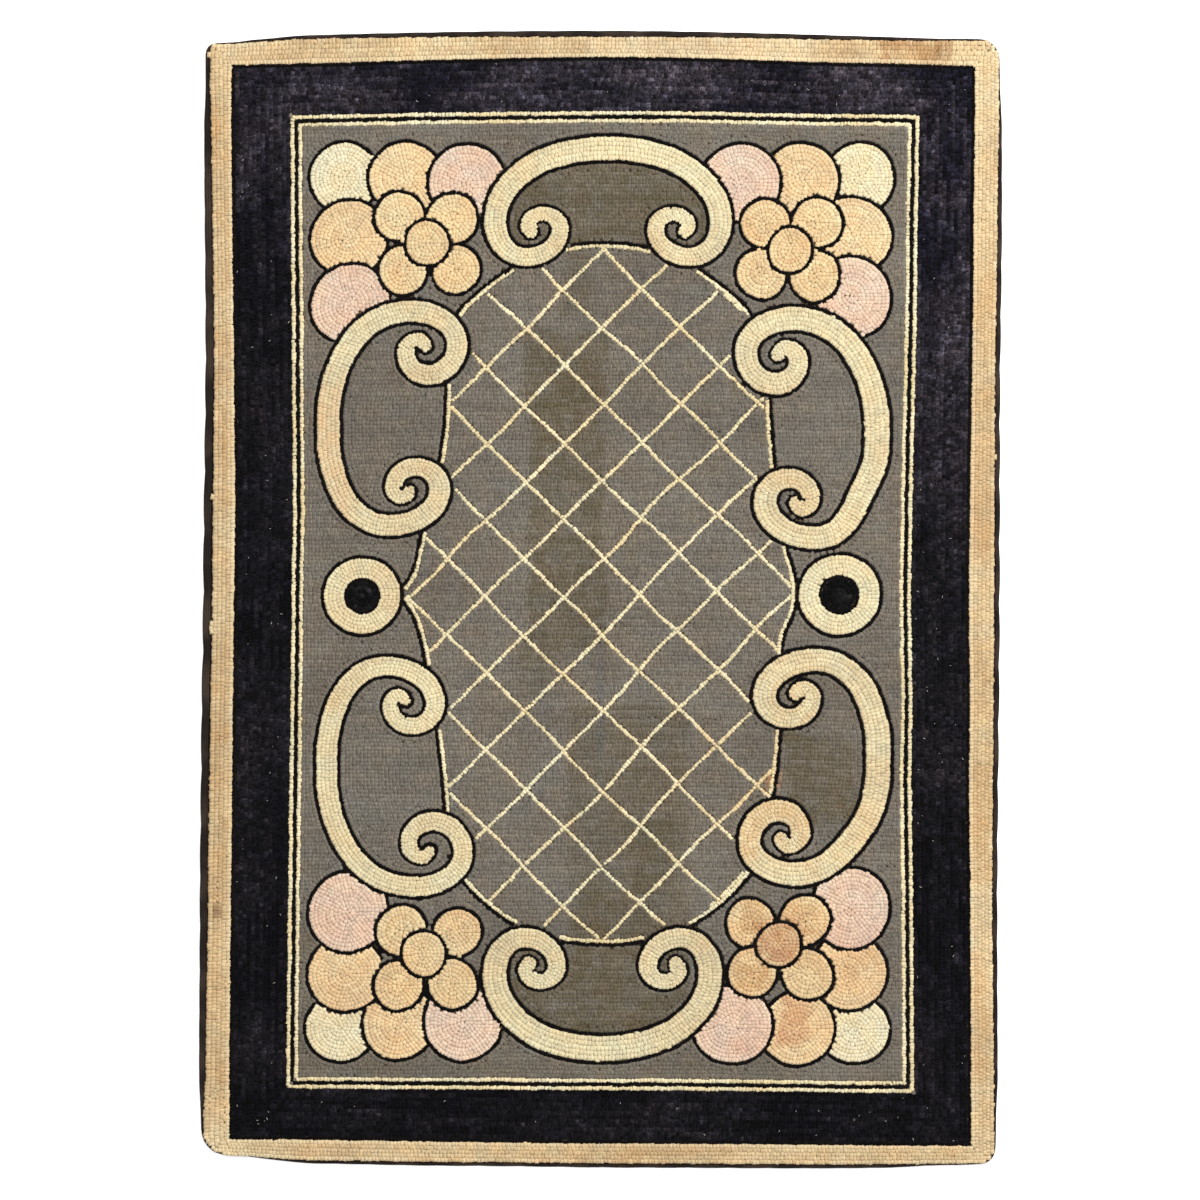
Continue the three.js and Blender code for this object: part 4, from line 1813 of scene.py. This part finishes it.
@dataclass
class Binding:
    """The dark tape that wraps the rug's edge, and its hem stitches on the back."""

    step: float = 6.0  # mm along the tape
    # The tape's section: which CAD ring a point keeps to, how far inside that in shares of the shown width and
    # in mm, and its height in mm.
    section: tuple = (
        ("outer", 0.30, 0.3, 0.0),
        ("outer", 0.06, 0.0, 0.5),
        ("outer", 0.0, 0.0, 1.5),
        ("outer", 0.08, 0.0, 2.5),
        ("outer", 0.25, 0.0, 3.05),
        ("outer", 0.62, 0.0, 3.2),
        ("outer", 0.92, 0.0, 2.75),
        ("room", 0.0, 0.1, 1.25),
        ("hole", 0.0, -8.0, 1.15),
        ("hole", 0.0, -0.4, 1.1),
        ("hole", 0.0, 0.0, 0.6),
        ("hole", 0.0, -0.4, 0.0),
    )
    pucker: float = 0.035  # how far the tape's height over the edge strays
    crease: float = 50.0  # degrees, the least angle of a sharp edge
    stitch_step: float = 8.5
    stitch: tuple = (3.4, 0.75)  # half its length and half its width in mm
    stitch_slant: float = 58.0  # degrees from the hem
    stitch_height: float = 1.5

    def __post_init__(self) -> None:
        """Measures the tape's rings on the CAD node."""
        walls = {"outer": (0.0, 0.0032), "room": (0.0012, 0.0032), "hole": (0.0, 0.0012)}
        self.rings = {name: outline_ring("binding", *wall) / MM for name, wall in walls.items()}
        outer = Path(self.rings["outer"], True)
        self.stations, self.heading = outer.even(self.step)

    def ring(self, name: str) -> np.ndarray:
        """Gives one ring's point level with each station, found by its angle round the rug."""
        way = np.arctan2(self.stations[:, 1], self.stations[:, 0])
        away = reach_at(self.rings[name], way)
        return np.column_stack([away * np.cos(way), away * np.sin(way)])

    def build(self) -> bpy.types.Object:
        """Builds the tape as its section carried round the rug.

        Returns:
            The piece.
        """
        outer, room = loosened(self.ring("outer"), TAPE_LOOSE), loosened(self.ring("room"), HEM_LOOSE)
        starts = {"outer": outer, "room": room, "hole": self.ring("hole")}
        shown = np.hypot(*(outer - room).T)
        inward = -np.column_stack([np.sin(self.heading), -np.cos(self.heading)])
        count, corners = len(self.stations), len(self.section)
        points = np.zeros((count, corners, 3))
        pucker = Wander(24, 90).at(*outer.T)
        around = [0.0]
        for k, (name, share, inset, height) in enumerate(self.section):
            points[:, k, :2] = starts[name] + inward * (share * shown + inset)[:, None]
            points[:, k, 2] = height * (1 + self.pucker * pucker * (height > 2))
            if k:
                stride = (points[:, k] - points[:, k - 1])[:, [0, 2]]
                around.append(around[-1] + float(np.median(np.hypot(*stride.T))))
        i, k = np.meshgrid(np.arange(count), np.arange(corners), indexing="ij")
        here, ahead = i * corners + k, (i + 1) % count * corners + k
        up_here, up_ahead = i * corners + (k + 1) % corners, (i + 1) % count * corners + (k + 1) % corners
        faces = np.stack([here, ahead, up_ahead, up_here], axis=-1).reshape(-1, 4)
        mesh = bpy.data.meshes.new("binding_tape")
        mesh.from_pydata((points.reshape(-1, 3) * MM).tolist(), [], faces.tolist())
        tape = np.zeros((count, corners, 3), np.float32)
        tape[:, :, 0], tape[:, :, 1] = travelled(outer)[:, None] * MM, np.array(around) * MM
        mesh.attributes.new("tape", "FLOAT_VECTOR", "POINT").data.foreach_set("vector", tape.ravel())
        piece = linked("binding_tape", mesh)
        deselect()
        piece.select_set(True)
        bpy.context.view_layer.objects.active = piece
        bpy.ops.object.mode_set(mode="EDIT")
        face_outwards()
        bpy.ops.object.shade_smooth_by_angle(angle=math.radians(self.crease))
        return piece

    def stitches(self, pile: Pile) -> bpy.types.Object:
        """Builds the slanting stitches that hold the tape's hem to the back.

        Args:
            pile: The pile, whose loop is copied small for each stitch.

        Returns:
            The piece.
        """
        place, heading = Path(self.ring("hole"), True).even(self.stitch_step)
        draw = np.random.RandomState(SEED + 9)
        count, corners = len(place), len(pile.place)
        turn = heading + math.radians(self.stitch_slant) + draw.normal(0, 0.12, count)
        shape = np.repeat(pile.place[None], count, axis=0)
        shape[:, :, 0] *= self.stitch[0] / pile.form.half_long
        shape[:, :, 1] *= self.stitch[1] / pile.form.half_wide
        height = 0.1 + pile.form.lift(shape[:, :, 2]) * self.stitch_height
        points = np.stack([*turned(shape, turn, place), height], axis=-1)
        faces = [tuple(v + k * corners for v in face) for k in range(count) for face in pile.faces]
        return smooth_piece("hem_stitches", points.reshape(-1, 3), faces)


@dataclass
class Lint:
    """Bits of pale lint and cut thread caught in the navy pile."""

    borders: Borders
    count: int = 120
    tries: int = 4000  # places that are looked at for it
    longest: float = 3.4  # mm
    thick: float = 0.34
    height: float = 8.05

    def build(self) -> bpy.types.Object:
        """Builds the lint as bent threads of three flat-sided lengths each.

        Returns:
            The piece.
        """
        draw = np.random.RandomState(SEED + 21)
        x, y = draw.uniform(-505, 505, self.tries), draw.uniform(-735, 735, self.tries)
        caught = self.borders.inside(x, y, "navy", 6) & ~self.borders.inside(x, y, "guard", -4)
        caught &= draw.uniform(0, 1, self.tries) < 0.4 + 0.6 * (y < -640) * (x < -380)
        places = np.column_stack([x, y])[caught][: self.count]
        points, faces = [], []
        for place in places:
            run = draw.uniform(0.25, 1.0) ** 1.6 * self.longest + 0.5
            turn, bend = draw.uniform(0, math.tau), draw.normal(0, 0.7)
            first, at = len(points), place.copy()
            for step in range(4):
                way = turn + bend * step
                side = np.array([-math.sin(way), math.cos(way)])
                half = self.thick * (1.0, 1.25, 1.1, 0.7)[step]
                for across, up in ((-half, -0.3), (half, -0.3), (0.0, half * 0.9)):
                    points.append((*(at + side * across), self.height + up))
                at = at + np.array([math.cos(way), math.sin(way)]) * run / 3
            for step in range(3):
                a = first + 3 * step
                faces += [(a + i, a + (i + 1) % 3, a + 3 + (i + 1) % 3, a + 3 + i) for i in range(3)]
            faces += [(first + 2, first + 1, first), (first + 9, first + 10, first + 11)]
        return smooth_piece("lint", np.array(points), faces)


@dataclass
class Studio:
    """The floor, the lights and the camera straight above the rug."""

    shown: float = 1.62  # metres of floor across the frame
    lens: float = 85.0
    sensor: float = 36.0
    aim: tuple = (-0.0007, 0.0020)
    white: float = 0.86
    daylight: float = 0.62

    def build(self) -> None:
        """Sets the stage."""
        deselect()
        bpy.ops.mesh.primitive_plane_add(size=80, location=(0, 0, -0.0008))
        floor = bpy.context.object
        floor.name = "floor"
        made = Nodes("floor_white")
        cloudy = made.spread(made.noise(made.where(), 1.5), (0.3, 0.99), (0.7, 1.0))
        colour = made.times(made.tone((self.white,) * 3), cloudy)
        floor.data.materials.append(made.finish(Base_Color=colour, Roughness=0.9, Specular_IOR_Level=0.1))
        for name, place, size, power in (
            ("soft_overhead", (0.3, 0.2, 4.4), 5.0, 215.0),
            ("soft_key", (2.0, 2.4, 3.3), 2.6, 210.0),
        ):
            light = bpy.data.lights.new(name, "AREA")
            light.size, light.energy = size, power
            lamp = linked(name, light)
            lamp.location = place
            aim = -np.array(place)
            lamp.rotation_euler = (
                math.atan2(math.hypot(aim[0], aim[1]), -aim[2]),
                0,
                math.atan2(aim[1], aim[0]) - math.pi / 2,
            )
        world = bpy.data.worlds.new("studio")
        bpy.context.scene.world = world
        world.use_nodes = True
        sky = world.node_tree.nodes["Background"].inputs
        sky["Color"].default_value, sky["Strength"].default_value = (1, 1, 1, 1), self.daylight
        bpy.context.scene.view_settings.view_transform = "Standard"
        lens = bpy.data.cameras.new("camera")
        lens.lens, lens.sensor_width = self.lens, self.sensor
        camera = linked("camera", lens)
        camera.location = (*self.aim, self.shown * self.lens / self.sensor + 0.008)
        lens.clip_end = 200
        bpy.context.scene.camera = camera


def main() -> None:
    """Builds the rug round its CAD frame."""
    logging.basicConfig(level=logging.INFO, format="%(message)s")
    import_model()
    Studio().build()
    borders = Borders()
    layout = Layout(Drawing(Ornament(), borders))
    loops = layout.make()
    colours = Wear().colours(loops, layout)
    pile = Pile(LoopForm())
    sizes = pile.sizes(loops)
    pale = WoolFinish().material()
    # the ground and the navy take deeper painted shade between their loops and in the folds of their tops
    special = {
        "ground": WoolFinish("ground_wool", 0.7, 0.7, 0.15).material(),
        "navy": WoolFinish("navy_wool", 0.7, 0.7, 0.6).material(),
    }
    pieces = []
    for name, share in pile.groups(loops):
        piece = pile.build(name, loops[share], colours[share], sizes[share])
        piece.data.materials.append(special.get(name.split("_")[0], pale))
        pieces.append(piece)
        triangles = len(piece.data.loops) - 2 * len(piece.data.polygons)
        LOG.info("%s: %d loops, %d triangles", name, len(share), triangles)
    binding = Binding()
    tape = binding.build()
    tape.data.materials.append(TapeFinish().material())
    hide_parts("binding")
    hem = binding.stitches(pile)
    hem.data.materials.append(ThreadFinish().material())
    lint = Lint(borders).build()
    lint.data.materials.append(ThreadFinish((176, 168, 160)).material())
    cloth = Foundation(loops, colours, borders).build()
    cloth.data.materials.append(BackingFinish().material())
    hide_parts("rug")
    for piece in (*pieces, tape, hem, lint, cloth):
        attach(piece, "root")
    LOG.info("%d pieces", len(pieces) + 4)


if __name__ == "__main__":
    main()
